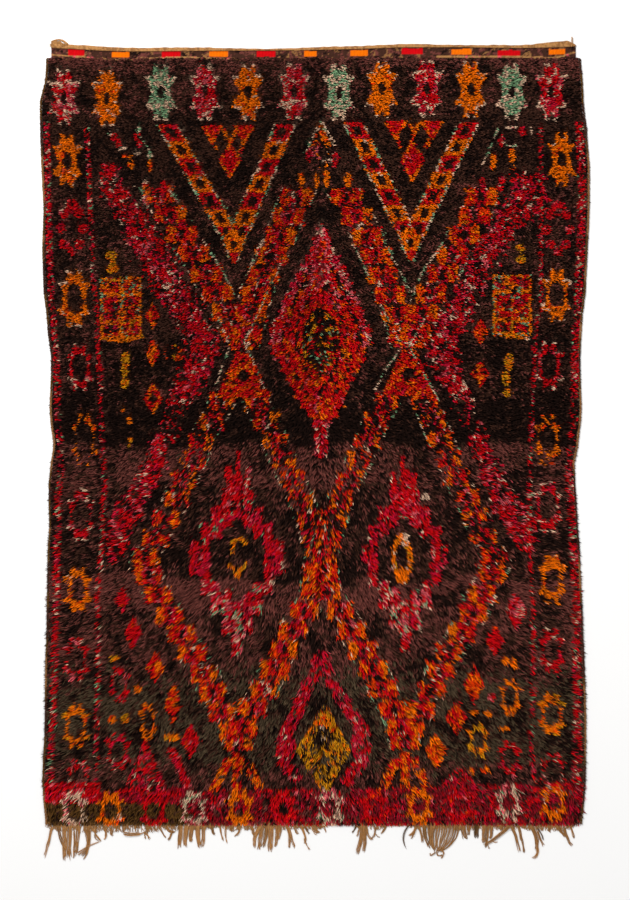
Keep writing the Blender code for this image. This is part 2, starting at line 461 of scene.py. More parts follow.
# %% Stars and rosettes
Star = namedtuple("Star", "col row fill edge wide tall hole_wide hole_tall")
PALE_EDGE = dict(pale=0.80, rose=0.06, keep=0.14)
WARM_EDGE = dict(orange=0.45, pale=0.40, keep=0.15)
SOFT_EDGE = dict(pale=0.45, rose=0.10, keep=0.45)
BRIGHT_EDGE = dict(orange=0.90, pale=0.10)


STAR_RISE = (0.0, 0.20, 0.34, 0.40, 0.57, 0.60, 0.78, 1.0)
SOLID_STAR = (0.62, 0.66, 0.80, 0.86, 1.02, 0.50, 0.45, 0.42)
OPEN_STAR = (0.74, 0.76, 0.78, 0.98, 1.02, 0.54, 0.50, 0.50)


def star(chart, motif):
    """Paints a star: a waist, two wide arms and a pair of prongs each way, round a dark eye."""
    open_eye = motif.hole_wide > 5
    shake = waves(chart.col, chart.row, 8, 29)
    across = np.abs(chart.col - motif.col + 0.7 * shake) / motif.wide
    up = np.abs(chart.row - motif.row + 0.7 * shake) / motif.tall
    half = np.interp(up, STAR_RISE, OPEN_STAR if open_eye else SOLID_STAR)
    slit = (up > 0.84) & (across < 0.13)
    shape = (up < 1.0) & (across < half) & ~slit
    eye_across = across * motif.wide / motif.hole_wide
    eye_up = up * motif.tall / motif.hole_tall
    eye = np.maximum(eye_across, eye_up) + 0.35 * np.minimum(eye_across, eye_up) < 1.1
    chart.paint(shape & ~eye, motif.fill)
    arm_tip = shape & (up > 0.36) & (up < 0.62) & (across > half - 0.16)
    arm_edge = shape & (np.abs(up - 0.555) < 0.045) & (across > 0.45)
    chart.paint((arm_tip | arm_edge | (shape & (up > 0.9))) & ~eye, motif.edge)
    if not open_eye:
        chart.paint(eye & shape, DARK)


def rosette(chart, col, row, wide, tall, mix, top, blob):
    """Blobs round an empty middle, with the largest on top."""
    for turn in range(8):
        angle = 2 * np.pi * turn / 8
        size = top if turn == 0 else blob
        oval(chart, col + wide * np.sin(angle), row - tall * np.cos(angle), 2 * size, 2 * size, mix)


TOP_STARS = (
    (64, 98, PINK_RED),
    (107, 99, SOLID_ORANGE),
    (161, 93, SAGE),
    (205, 93, PINK_RED),
    (248, 93, SOLID_ORANGE),
    (294, 92, PINK_RED),
    (339, 93, SAGE),
    (382, 90, SOLID_ORANGE),
    (427, 89, PINK_RED),
    (471, 90, SOLID_ORANGE),
    (512, 92, SAGE),
    (551, 92, PINK_RED),
)
SIDE_STARS = (
    Star(67, 161, SOLID_ORANGE, BRIGHT_EDGE, 15, 26, 4.2, 8),
    Star(74.5, 299, OPEN_ORANGE, WARM_EDGE, 15, 28, 7.5, 14),
    Star(80, 368, OPEN_RED, SOFT_EDGE, 13.5, 23, 7.5, 13),
    Star(84.5, 440, FAINT_ORANGE, FAINT_ORANGE, 13, 26, 8, 17),
    Star(81, 515, OPEN_RED, SOFT_EDGE, 13.5, 26, 8.5, 15),
    Star(78, 589, OPEN_ORANGE, BRIGHT_EDGE, 13.5, 22, 7, 12),
    Star(76, 659, FAINT_RED, FAINT_RED, 13, 22, 8, 11),
    Star(76, 726, OPEN_ORANGE, HONEY, 13, 22, 7.5, 12),
    Star(79, 777, FAINT_RED, FAINT_RED, 12, 17, 7, 7),
    Star(561.5, 160, SOLID_ORANGE, BRIGHT_EDGE, 14, 27, 4.5, 7),
    Star(556.5, 295, OPEN_ORANGE, WARM_EDGE, 14.5, 26, 7.5, 12),
    Star(549, 366, OPEN_RED, SOFT_EDGE, 14, 24, 7.5, 13),
    Star(548, 440, FAINT_ORANGE, FAINT_ORANGE, 13, 25, 7.5, 12),
    Star(548, 507, OPEN_RED, SOFT_EDGE, 14, 25, 8.5, 14),
    Star(552.5, 580, OPEN_ORANGE, BRIGHT_EDGE, 13.5, 25, 7, 11),
    Star(552, 651, OPEN_RED, OPEN_RED, 13, 22, 8, 11),
    Star(551.5, 714, OPEN_ORANGE, HONEY, 13.5, 21, 7.5, 11),
    Star(553, 772, FAINT_RED, OPEN_RED, 13.5, 19, 8, 10),
)


def top_border(chart):
    for col, row, fill in TOP_STARS:
        edge = WARM_EDGE if fill is SOLID_ORANGE else PALE_EDGE
        star(chart, Star(col, row, fill, edge, 16, 28, 3.0, 6.0))


def side_borders(chart):
    rosette(chart, 72, 229, 11, 22, OPEN_RED, 7.5, 5.2)
    rosette(chart, 558, 230, 11.5, 21, OPEN_RED, 7.5, 4.8)
    for motif in SIDE_STARS:
        star(chart, motif)


# %% [markdown]
# Two thin cords run down each side border like a barber's pole: turns of red, then turns with undyed
# and green wool. They bend in and out with the edge of the rug.

# %% Guard stripes
STRIPE_RED = dict(red=0.52, crimson=0.24, wine=0.10, keep=0.14)
STRIPE_PALE = dict(red=0.34, pale=0.10, green=0.11, rose=0.05, keep=0.40)
Stripe = namedtuple("Stripe", "wide rows cols")
STRIPES = (
    Stripe(
        6.5,
        (122, 200, 300, 315, 370, 415, 450, 480, 490, 550, 625, 690, 745, 784),
        (47, 48, 51.5, 53, 57, 58, 60.5, 60.5, 58.5, 57, 55, 54, 51, 50),
    ),
    Stripe(
        5,
        (128, 220, 280, 320, 375, 435, 475, 550, 590, 680, 750, 786),
        (87, 91, 94, 97, 100, 101.5, 104.5, 101, 98, 98, 96, 96),
    ),
    Stripe(
        8.5,
        (122, 180, 250, 340, 420, 475, 500, 540, 600, 670, 730, 786),
        (579, 582, 580.5, 576, 573.5, 569, 571, 574, 577, 577, 578, 577),
    ),
    Stripe(
        4.5,
        (128, 310, 325, 410, 470, 560, 590, 690, 735, 786),
        (541, 541, 535.5, 532, 529.5, 529.5, 533, 533, 531, 534),
    ),
)


def guard_stripes(chart):
    for stripe in STRIPES:
        middle = np.interp(chart.row, stripe.rows, stripe.cols)
        within = (chart.row > stripe.rows[0]) & (chart.row < stripe.rows[-1])
        on = within & (np.abs(chart.col - middle) < stripe.wide / 2)
        turn = (chart.row + 0.8 * (chart.col - middle)) % 7.0 < 3.6
        inner = stripe.wide < 6
        # Between rows 395 and 480 fewer knots of the stripes are tied, so the stripes are thinner and darker
        # there.
        wear_and_fold_shade = (chart.row > 395) & (chart.row < 480)
        share = np.where(wear_and_fold_shade, 0.55, 0.80 if inner else 0.92)
        tied = on & (chart.draw() < share)
        chart.paint(tied & turn, STRIPE_RED)
        chart.paint(tied & ~turn, STRIPE_PALE)


# %% [markdown]
# Two tall Vs hang from the top border. Each arm is a ladder of red and orange cells with dark windows,
# edged with undyed and green wool, and inside each V hang two small triangles and a diamond.

# %% Tall Vs
LADDER_RED = dict(red=0.76, crimson=0.12, vermilion=0.06, pale=0.02, black=0.04)
LADDER_ORANGE = dict(orange=0.86, vermilion=0.12, pale=0.02)
LADDER_EDGE = dict(orange=0.14, pale=0.22, green=0.18, keep=0.46)
SPECKS = dict(orange=0.50, vermilion=0.20, red=0.10, keep=0.20)
SPECK_LINES = (
    ((213, 138), (217, 151)),
    ((244, 140), (240, 153)),
    ((222, 128), (230, 143)),
    ((236, 132), (231, 143)),
    ((396, 137), (401, 148)),
    ((431, 138), (425, 148)),
    ((408, 122), (414, 133)),
    ((420, 124), (412, 137)),
)


def ladder(chart, start, end, cell):
    """An arm of a tall V: cells in red and orange by turns, each with a dark window."""
    (col_a, row_a), (col_b, row_b) = start, end
    along = (chart.row - row_a) / cell
    middle = col_a + (col_b - col_a) * (chart.row - row_a) / (row_b - row_a)
    across = (chart.col - middle) / 9.5
    within = (chart.row >= row_a) & (chart.row <= row_b)
    number = np.floor(along)
    band = within & (np.abs(across) < 1.0)
    chart.paint(band & (number % 2 == 0), LADDER_RED)
    chart.paint(band & (number % 2 == 1), LADDER_ORANGE)
    chart.paint(band & (np.abs(across) < 0.40) & (np.abs(along - number - 0.5) < 0.28), DARK)
    chart.paint(within & (np.abs(np.abs(across) - 1.02) < 0.15), LADDER_EDGE)


def point_of_v(chart, col, row):
    """Where the arms meet: an orange wedge with three windows and a red tip."""
    along = chart.row - row
    half = np.interp(along, [-8, 2, 17, 26], [9, 10.5, 5, 1.5])
    within = (along > -8) & (along < 26)
    tip = within & (np.abs(chart.col - col) < half)
    chart.paint(tip & (along < 15), LADDER_ORANGE)
    chart.paint(tip & (along >= 15), dict(red=0.75, rose=0.10, vermilion=0.15))
    chart.paint(within & (np.abs(np.abs(chart.col - col) - half - 1) < 1.2), LADDER_EDGE)
    for side, down, wide, tall in ((-0.5, 7, 6, 9), (-8.5, -7, 6, 8), (7.5, -6, 7, 9)):
        oval(chart, col + side, row + down, wide, tall, DARK)


def hanging_triangle(chart, col, row, wide, tall):
    down = (chart.row - row) / tall
    across = np.abs(chart.col - col) / (wide / 2)
    triangle = (down > 0) & (down < 1) & (across < 1.08 - down)
    chart.paint(triangle, dict(red=0.84, vermilion=0.12, crimson=0.04))
    chart.paint(triangle & (across > 0.74 - down), dict(orange=0.42, vermilion=0.20, keep=0.38))


def tall_vs(chart):
    ladder(chart, (167, 125), (232, 240), 17.0)
    ladder(chart, (285, 125), (236, 240), 17.0)
    ladder(chart, (353.5, 123), (409, 238), 16.5)
    ladder(chart, (469, 123), (413, 238), 16.5)
    point_of_v(chart, 233.8, 238)
    point_of_v(chart, 411, 236)
    for col, row, wide in ((212, 126, 21), (244, 126, 21), (395.5, 121.5, 23), (432, 121.5, 23)):
        hanging_triangle(chart, col, row, wide, 19)
    for points in SPECK_LINES:
        line(chart, points, SPECKS)
    for col, row, wide, tall in ((230, 161, 20, 34), (412.5, 161, 22, 40)):
        diamond(chart, col, row, wide, tall, SOLID_RED)
        diamond(chart, col, row, wide, tall, dict(orange=0.40, vermilion=0.16, keep=0.44), 0.80)


# %% [markdown]
# Between the two Vs a thin pale peak stands over the parting of the pile, with a few bright knots under
# it. The knots there are few and loose, so they are drawn as small ovals.

# %% Centre peak
PEAK_BITS = (
    (309, 156, 7, 14, OPEN_RED),
    (335.5, 160, 7, 16, OPEN_RED),
    (301, 181, 7, 15, OPEN_ORANGE),
    (348, 181, 8, 15, OPEN_ORANGE),
    (317, 181, 5, 16, OPEN_ORANGE),
    (327, 179, 6, 18, OPEN_ORANGE),
)


def centre_peak(chart):
    thin = dict(pale=0.58, green=0.10, keep=0.32)
    line(chart, ((321, 122), (304, 156)), thin, 1.7)
    line(chart, ((321, 122), (335, 146)), thin, 1.7)
    reach = np.minimum((chart.row - 122) * 0.45, 13)
    inside = (chart.row > 126) & (chart.row < 168) & (np.abs(chart.col - 321) < reach)
    chart.paint(inside & (chart.row < 147), dict(orange=0.36, vermilion=0.22, red=0.10, keep=0.32))
    chart.paint(inside & (chart.row >= 147), dict(pale=0.08, rose=0.08, orange=0.03, keep=0.81))
    for bit in PEAK_BITS:
        oval(chart, *bit)


# %% [markdown]
# Bands of red and orange cross the field as a great lattice. They meet in two knots beside the central
# lozenge, in one below it, and in two more over the foot. Each band is followed down its rows: a chain
# of stepped cells with coloured flanks, a small ring round a dark eye in each, mostly dark wool between
# the cells and a thin broken outline.

# %% Lattice
FLANK_BRIGHT = dict(orange=0.50, vermilion=0.30, red=0.18, black=0.02)
FLANK_RED = dict(red=0.44, vermilion=0.30, orange=0.20, crimson=0.03, black=0.03)
BAND_LINK = dict(red=0.13, crimson=0.05, vermilion=0.04, rose=0.02, pale=0.02, black=0.28, keep=0.46)
BAND_HEART = dict(red=0.54, crimson=0.18, rose=0.07, pale=0.04, vermilion=0.07, black=0.10)
OUTLINE = dict(pale=0.13, green=0.13, keep=0.74)
CELL = 19.5
Band = namedtuple("Band", "half bright_left share rows cols")
BANDS = (
    Band(15.5, True, 1.0, (186, 211, 230, 249, 268, 300, 325, 350), (151, 168, 179, 191, 203, 221, 234, 243)),
    Band(15.5, False, 1.0, (188, 217, 242, 266, 285, 310, 330, 350), (300, 288, 278, 267, 259, 252, 247, 243)),
    Band(15.5, True, 1.0, (188, 220, 242, 263, 283, 303, 325, 348), (341, 359, 370, 379, 386, 394, 402, 409)),
    Band(
        15.5,
        False,
        1.0,
        (187, 205, 227, 250, 273, 292, 310, 330, 348),
        (484, 479, 470, 455, 444, 432, 424, 416, 409),
    ),
    Band(
        12.5,
        False,
        0.62,
        (392, 406, 420, 441, 457, 479, 504, 523, 543, 566),
        (225, 220, 212.5, 200, 195, 184, 175, 163.5, 153, 141),
    ),
    Band(
        13.5,
        True,
        0.95,
        (566, 597, 615, 635, 655, 672, 696, 716, 735, 750),
        (143, 159, 170, 182, 192, 204, 214, 224, 235, 238),
    ),
    Band(
        12.5,
        True,
        0.62,
        (392, 407, 433, 456, 476, 500, 519, 540, 562),
        (252, 259, 271, 281, 290, 300.5, 309, 315, 320.5),
    ),
    Band(
        12.5,
        False,
        0.62,
        (392, 410, 428, 452, 475, 500, 520, 540, 562),
        (391, 383, 373, 363, 352, 341, 334, 327, 322),
    ),
    Band(
        12.5,
        True,
        0.62,
        (390, 406, 433, 454, 480, 501, 520, 543, 564),
        (420, 428, 438, 447, 458, 469, 477, 488, 498),
    ),
    Band(
        13.5,
        False,
        0.95,
        (564, 591, 613, 634, 655, 676, 695, 716, 732, 749),
        (497, 483, 473, 461, 448, 438, 430, 418, 408, 405),
    ),
    Band(
        14.0,
        False,
        0.95,
        (562, 597, 616, 635, 653, 676, 697, 716, 735, 750),
        (320, 314, 301, 290, 282, 271, 260, 248, 240, 238),
    ),
    Band(
        14.0,
        True,
        0.95,
        (562, 590, 612, 633, 653, 672, 694, 715, 732, 749),
        (322, 326, 341, 353, 365, 375, 385, 397, 403, 405),
    ),
)
FINE_LINES = (
    ((136, 131), (153, 157)),
    ((140, 187), (148, 209)),
    ((167, 188), (188, 216)),
    ((200, 238), (222, 270), (236, 297)),
    ((264, 240), (248, 272)),
    ((281, 264), (259, 312), (244, 342), (255, 366), (266, 394)),
    ((217, 314), (230, 347), (220, 373), (215, 388)),
    ((499, 127), (482, 166)),
    ((449, 229), (438, 251), (425, 268), (410, 297)),
    ((355, 248), (371, 281)),
    ((384, 242), (413, 296)),
    ((381, 305), (402, 348), (388, 366), (375, 390)),
    ((427, 316), (409, 347), (422, 370), (438, 399)),
)


def lattice_band(chart, band):
    """A band of cells, each a step aside from the last: two upright flanks and a small ring."""
    number = np.floor((chart.row - band.rows[0]) / CELL)
    cell_row = band.rows[0] + (number + 0.5) * CELL
    cell_col = np.interp(cell_row, band.rows, band.cols)
    across = (chart.col - cell_col + 1.3 * waves(chart.col, chart.row, 11, 23)) / band.half
    part = np.abs(chart.row - cell_row + 1.3 * waves(chart.col, chart.row, 12, 24)) / CELL
    within = (chart.row >= band.rows[0]) & (chart.row <= band.rows[-1])
    # From row 400 to 560 a band ties only its own share of knots, so more dark ground shows between its cells.
    wear_and_fold_shade = (chart.row > 400) & (chart.row < 560)
    tied = within & (chart.draw() < np.where(wear_and_fold_shade, band.share, 0.96))
    bright = ((number % 2 == 0) == (across < 0)) == band.bright_left
    flank = tied & (np.abs(np.abs(across) - 0.70) < 0.30) & (part < 0.44)
    ring = tied & (np.abs(across) < 0.38) & (part < 0.38)
    chart.paint(tied & (np.abs(across) < 0.95), BAND_LINK)
    chart.paint(flank & bright, FLANK_BRIGHT)
    chart.paint(flank & ~bright, FLANK_RED)
    chart.paint(ring, BAND_HEART)
    chart.paint(ring & (np.abs(across) < 0.15) & (part < 0.22), DARK)
    middle = np.interp(chart.row, band.rows, band.cols)
    chart.paint(within & (np.abs(np.abs(chart.col - middle) - band.half - 1.5) < 0.8), OUTLINE)


def lattice(chart):
    for band in BANDS:
        lattice_band(chart, band)
    fill = dict(red=0.42, vermilion=0.24, orange=0.16, crimson=0.04, black=0.14)
    for col, row, foot in ((243, 352, 398), (409, 350, 396)):
        down = (chart.row - row) / (foot - row)
        fan = (down > 0) & (down < 1) & (np.abs(chart.col - col) < 7 + 20 * down)
        chart.paint(fan, fill)
        oval(chart, col, row + 24, 11, 12, DARK)
    for col in (237, 405):
        for side, top in ((-1, 758), (0, 752), (1, 758)):
            middle = col + side * (8 + 18 * np.clip((chart.row - 758) / 38, 0, 1))
            leg = (chart.row > top) & (chart.row < 794) & (np.abs(chart.col - middle) < 5)
            chart.paint(leg, dict(orange=0.32, vermilion=0.20, red=0.26, keep=0.22))
    for points in FINE_LINES:
        line(chart, points, dict(pale=0.40, green=0.30, keep=0.30), 0.9)


# %% [markdown]
# Two broad crimson bands zigzag down the flanks of the field. Their wool is looser and mixed with pink,
# so they are drawn as one ragged, speckled shape each, from the middle and half-width at each row.

# %% Crimson bands
CRIMSON = dict(red=0.37, crimson=0.17, rose=0.08, pale=0.05, black=0.23, brown=0.10)
LEFT_CRIMSON = (
    Stop(166, 109, 7),
    Stop(190, 113, 12),
    Stop(205, 125, 17),
    Stop(229, 137.5, 16),
    Stop(248, 149.5, 18),
    Stop(272, 162.5, 17),
    Stop(294, 172.5, 18),
    Stop(312, 186, 16),
    Stop(329, 197, 16),
    Stop(349, 205, 15),
    Stop(366, 198, 15),
    Stop(388, 186.5, 15),
    Stop(401, 180, 12),
    Stop(416, 174, 9),
    Stop(434, 166, 12),
    Stop(453, 158, 10),
    Stop(471, 152, 12),
    Stop(484, 146, 11),
    Stop(501, 133, 13),
    Stop(518, 124.5, 15),
    Stop(532, 118, 13),
    Stop(545, 117, 10),
    Stop(564, 113, 4),
)
RIGHT_CRIMSON = (
    Stop(172, 528, 15),
    Stop(192, 529, 16),
    Stop(204, 524, 20),
    Stop(216, 516, 23),
    Stop(229, 503, 14),
    Stop(244, 492.5, 15.5),
    Stop(262, 481.5, 15.5),
    Stop(279, 475, 15),
    Stop(297, 466, 15),
    Stop(312, 456.5, 15.5),
    Stop(323, 451, 16.5),
    Stop(342, 441, 15),
    Stop(353, 440, 15),
    Stop(364, 445.5, 14),
    Stop(379, 450, 13),
    Stop(390, 458, 12),
    Stop(405, 462, 10),
    Stop(416, 467, 9),
    Stop(431, 475, 9),
    Stop(445, 479, 9),
    Stop(458, 486, 10),
    Stop(477, 493, 12),
    Stop(495, 501, 14),
    Stop(512, 510, 16),
    Stop(527, 520, 16),
    Stop(540, 524, 12),
    Stop(552, 527, 6),
)


def crimson_bands(chart):
    speckled(chart, LEFT_CRIMSON, CRIMSON, 0.30, 8, 21)
    speckled(chart, RIGHT_CRIMSON, CRIMSON, 0.30, 8, 22)
    # Across rows 405 to 435, away from the middle, the crimson is painted over mostly in black: painted shade
    # along a fold of the pile.
    wear_and_fold_shade = (np.abs(chart.row - 420) < 15) & (np.abs(chart.col - MIDDLE_COL) > 110)
    chart.paint(wear_and_fold_shade, dict(black=0.52, brown=0.08, keep=0.40))


# %% [markdown]
# The central lozenge has stepped sides. It is pink-flecked red above and red with orange below, with
# two thin dark lines inside it, a dark heart speckled with green and gold, and a long red tail.

# %% Central lozenge
LOZENGE = (
    Stop(224, 321.5, 1.5),
    Stop(232, 321.5, 6),
    Stop(248, 322, 10.5),
    Stop(262, 323, 19),
    Stop(275, 322, 26),
    Stop(294, 321, 34),
    Stop(312, 320, 42.5),
    Stop(330, 321, 49.5),
    Stop(345, 321, 50),
    Stop(360, 319.5, 43),
    Stop(370, 320, 38),
    Stop(388, 320, 28),
    Stop(397, 321, 25),
    Stop(416, 323, 14.5),
    Stop(424, 321, 7),
    Stop(458, 321, 6.5),
)


LOZENGE_MIX = dict(red=0.78, vermilion=0.10, orange=0.02, crimson=0.06, rose=0.04)
PINK_FLECKS = dict(rose=0.18, pale=0.10, crimson=0.10, keep=0.62)
WARM_FLECKS = dict(orange=0.08, vermilion=0.12, keep=0.80)
LOZENGE_GAP = dict(black=0.64, brown=0.10, orange=0.10, vermilion=0.04, keep=0.12)
HEART_MIX = dict(black=0.42, brown=0.08, green=0.09, gold=0.13, orange=0.10, red=0.12, vermilion=0.06)


def centre_lozenge(chart):
    middle, _, within = follow(chart, LOZENGE)
    step = np.round((chart.row - 224) / 9.0) * 9.0 + 224
    half = np.interp(step, [stop.row for stop in LOZENGE], [stop.half for stop in LOZENGE])
    half = half * (1 + 0.05 * waves(chart.col, chart.row, 10, 25))
    across = np.abs(chart.col - middle)
    inset = half - across + 1.2 * waves(chart.col, chart.row, 14, 26)
    shape = within & (half > across)
    chart.paint(shape, LOZENGE_MIX)
    chart.paint(shape & (chart.row < 352) & (inset < 12), PINK_FLECKS)
    chart.paint(shape & (chart.row < 300), PINK_FLECKS)
    chart.paint(shape & (chart.row > 340), WARM_FLECKS)
    ringed = shape & (chart.row > 266) & (chart.row < 398)
    chart.paint(ringed & (np.abs(inset - 11.5) < 2.4), LOZENGE_GAP)
    chart.paint(ringed & (np.abs(inset - 24.5) < 2.2) & (chart.row > 285), LOZENGE_GAP)
    heart = (across / 19.0) ** 2 + ((chart.row - 341) / 31.0) ** 2 < 1.0
    chart.paint(heart, HEART_MIX)
    core = (across / 7.0) ** 2 + ((chart.row - 338) / 40.0) ** 2 < 1.0
    chart.paint(core, dict(black=0.60, green=0.05, red=0.05, keep=0.30))
    tail = within & (chart.row > 420) & (across < half)
    chart.paint(tail, dict(red=0.60, crimson=0.16, rose=0.14, pale=0.10))


# %% [markdown]
# Three smaller lozenges hang below. The two crimson ones are rings in blocky steps, with green and
# undyed flecks toward the foot, three spikes on top and a small gold or orange figure inside. The last
# one, over the foot, opens round a gold and olive heart.

# %% Lower lozenges
RING_MIX = dict(red=0.54, crimson=0.30, rose=0.05, pale=0.02, green=0.02, black=0.07)
RING_FOOT = dict(green=0.07, pale=0.08, rose=0.17, keep=0.68)
STRIP = 10.5
FIGURE = dict(gold=0.50, orange=0.44, keep=0.06)
FOOT_ARM = dict(crimson=0.34, red=0.34, rose=0.07, pale=0.03, keep=0.22)


def stepped_ring(chart, col, row, wide, rise, fall):
    """A lozenge of upright strips round an open middle, taller below than above."""
    up = chart.row - row + 1.5 * waves(chart.col, chart.row, 13, 27)
    across = np.abs(chart.col - col + 1.0 * waves(chart.col, chart.row, 13, 28))
    strip = np.round(across / STRIP) * STRIP
    above = (strip - 5) / wide - up / rise
    below = strip / wide + up / fall
    outer = np.where(up < 0, above, below)
    hole = (strip < 23) & (strip + 1.1 * np.abs(up) < 45)
    ring = (outer < 1.04) & (across < wide) & ~hole
    chart.paint(ring, RING_MIX)
    chart.paint(ring & (up > 0.22 * fall), RING_FOOT)
    gaps = ring & (np.abs(across - strip) > 4.2) & (waves(chart.col, chart.row, 12, int(col)) > 0.0)
    chart.paint(gaps, dict(black=0.75, brown=0.15, keep=0.10))


def spikes(chart, col, top):
    line(chart, ((col, top), (col, top + 42)), SOLID_RED, 2.2)
    line(chart, ((col - 10, top + 16), (col - 7, top + 46)), OPEN_RED, 3.2)
    line(chart, ((col + 11, top + 16), (col + 8, top + 46)), OPEN_RED, 3.2)
    oval(chart, col, top + 42, 26, 14, OPEN_RED)


def lower_lozenges(chart):
    stepped_ring(chart, 237, 560, 47, 76, 92)
    stepped_ring(chart, 405, 559, 43, 78, 90)
    spikes(chart, 238, 451)
    spikes(chart, 403, 457)
    oval(chart, 425, 497, 9, 9, dict(pale=0.70, keep=0.30))
    line(chart, ((232, 553), (233, 542), (239, 539)), FIGURE, 2.4)
    line(chart, ((241, 538), (246, 546)), FIGURE, 2.0)
    line(chart, ((229, 564), (240, 578)), FIGURE, 2.0)
    line(chart, ((247, 563), (235, 577)), FIGURE, 2.0)
    across = (chart.col - 402) / 10.5
    up = (chart.row - 558) / 24.0
    figure_ring = (across**2 + up**2 < 1.0) & ((across / 0.55) ** 2 + (up / 0.60) ** 2 > 1.0)
    chart.paint(figure_ring, dict(orange=0.72, gold=0.22, pale=0.06))
    oval(chart, 402, 576, 13, 16, SOLID_ORANGE)
    oval(chart, 405, 540, 8, 14, dict(orange=0.45, pale=0.45, gold=0.10))
    oval(chart, 322, 664, 22, 26, dict(crimson=0.34, red=0.26, rose=0.06, keep=0.34))
    line(chart, ((317, 672), (308, 686), (300, 702), (294, 718), (284, 737)), FOOT_ARM, 6.5)
    line(chart, ((280, 752), (287, 767), (298, 782)), FOOT_ARM, 6.5)
    line(chart, ((327, 672), (338, 693), (349, 710), (358, 722), (365, 738)), FOOT_ARM, 6.5)
    line(chart, ((365, 756), (355, 770), (345, 784)), FOOT_ARM, 6.5)
    oval(chart, 286, 745, 20, 32, FOOT_ARM)
    oval(chart, 361, 745, 20, 36, FOOT_ARM)
    heart = np.abs(chart.col - 324) / 28 + np.abs(chart.row - 750) / 46 < 1.0
    chart.paint(heart, dict(gold=0.44, orange=0.12, olive=0.12, black=0.18, keep=0.14))
    chart.paint(heart & (chart.row < 733), dict(orange=0.36, vermilion=0.10, keep=0.54))
    oval(chart, 322, 738, 20, 24, dict(black=0.50, brown=0.16, gold=0.10, pale=0.03, keep=0.21))


# %% [markdown]
# The side fields are full of small things: diamonds, rings, hourglasses and single bright knots. A
# table holds them, one row each, with a brush, a place, a size and a mix.

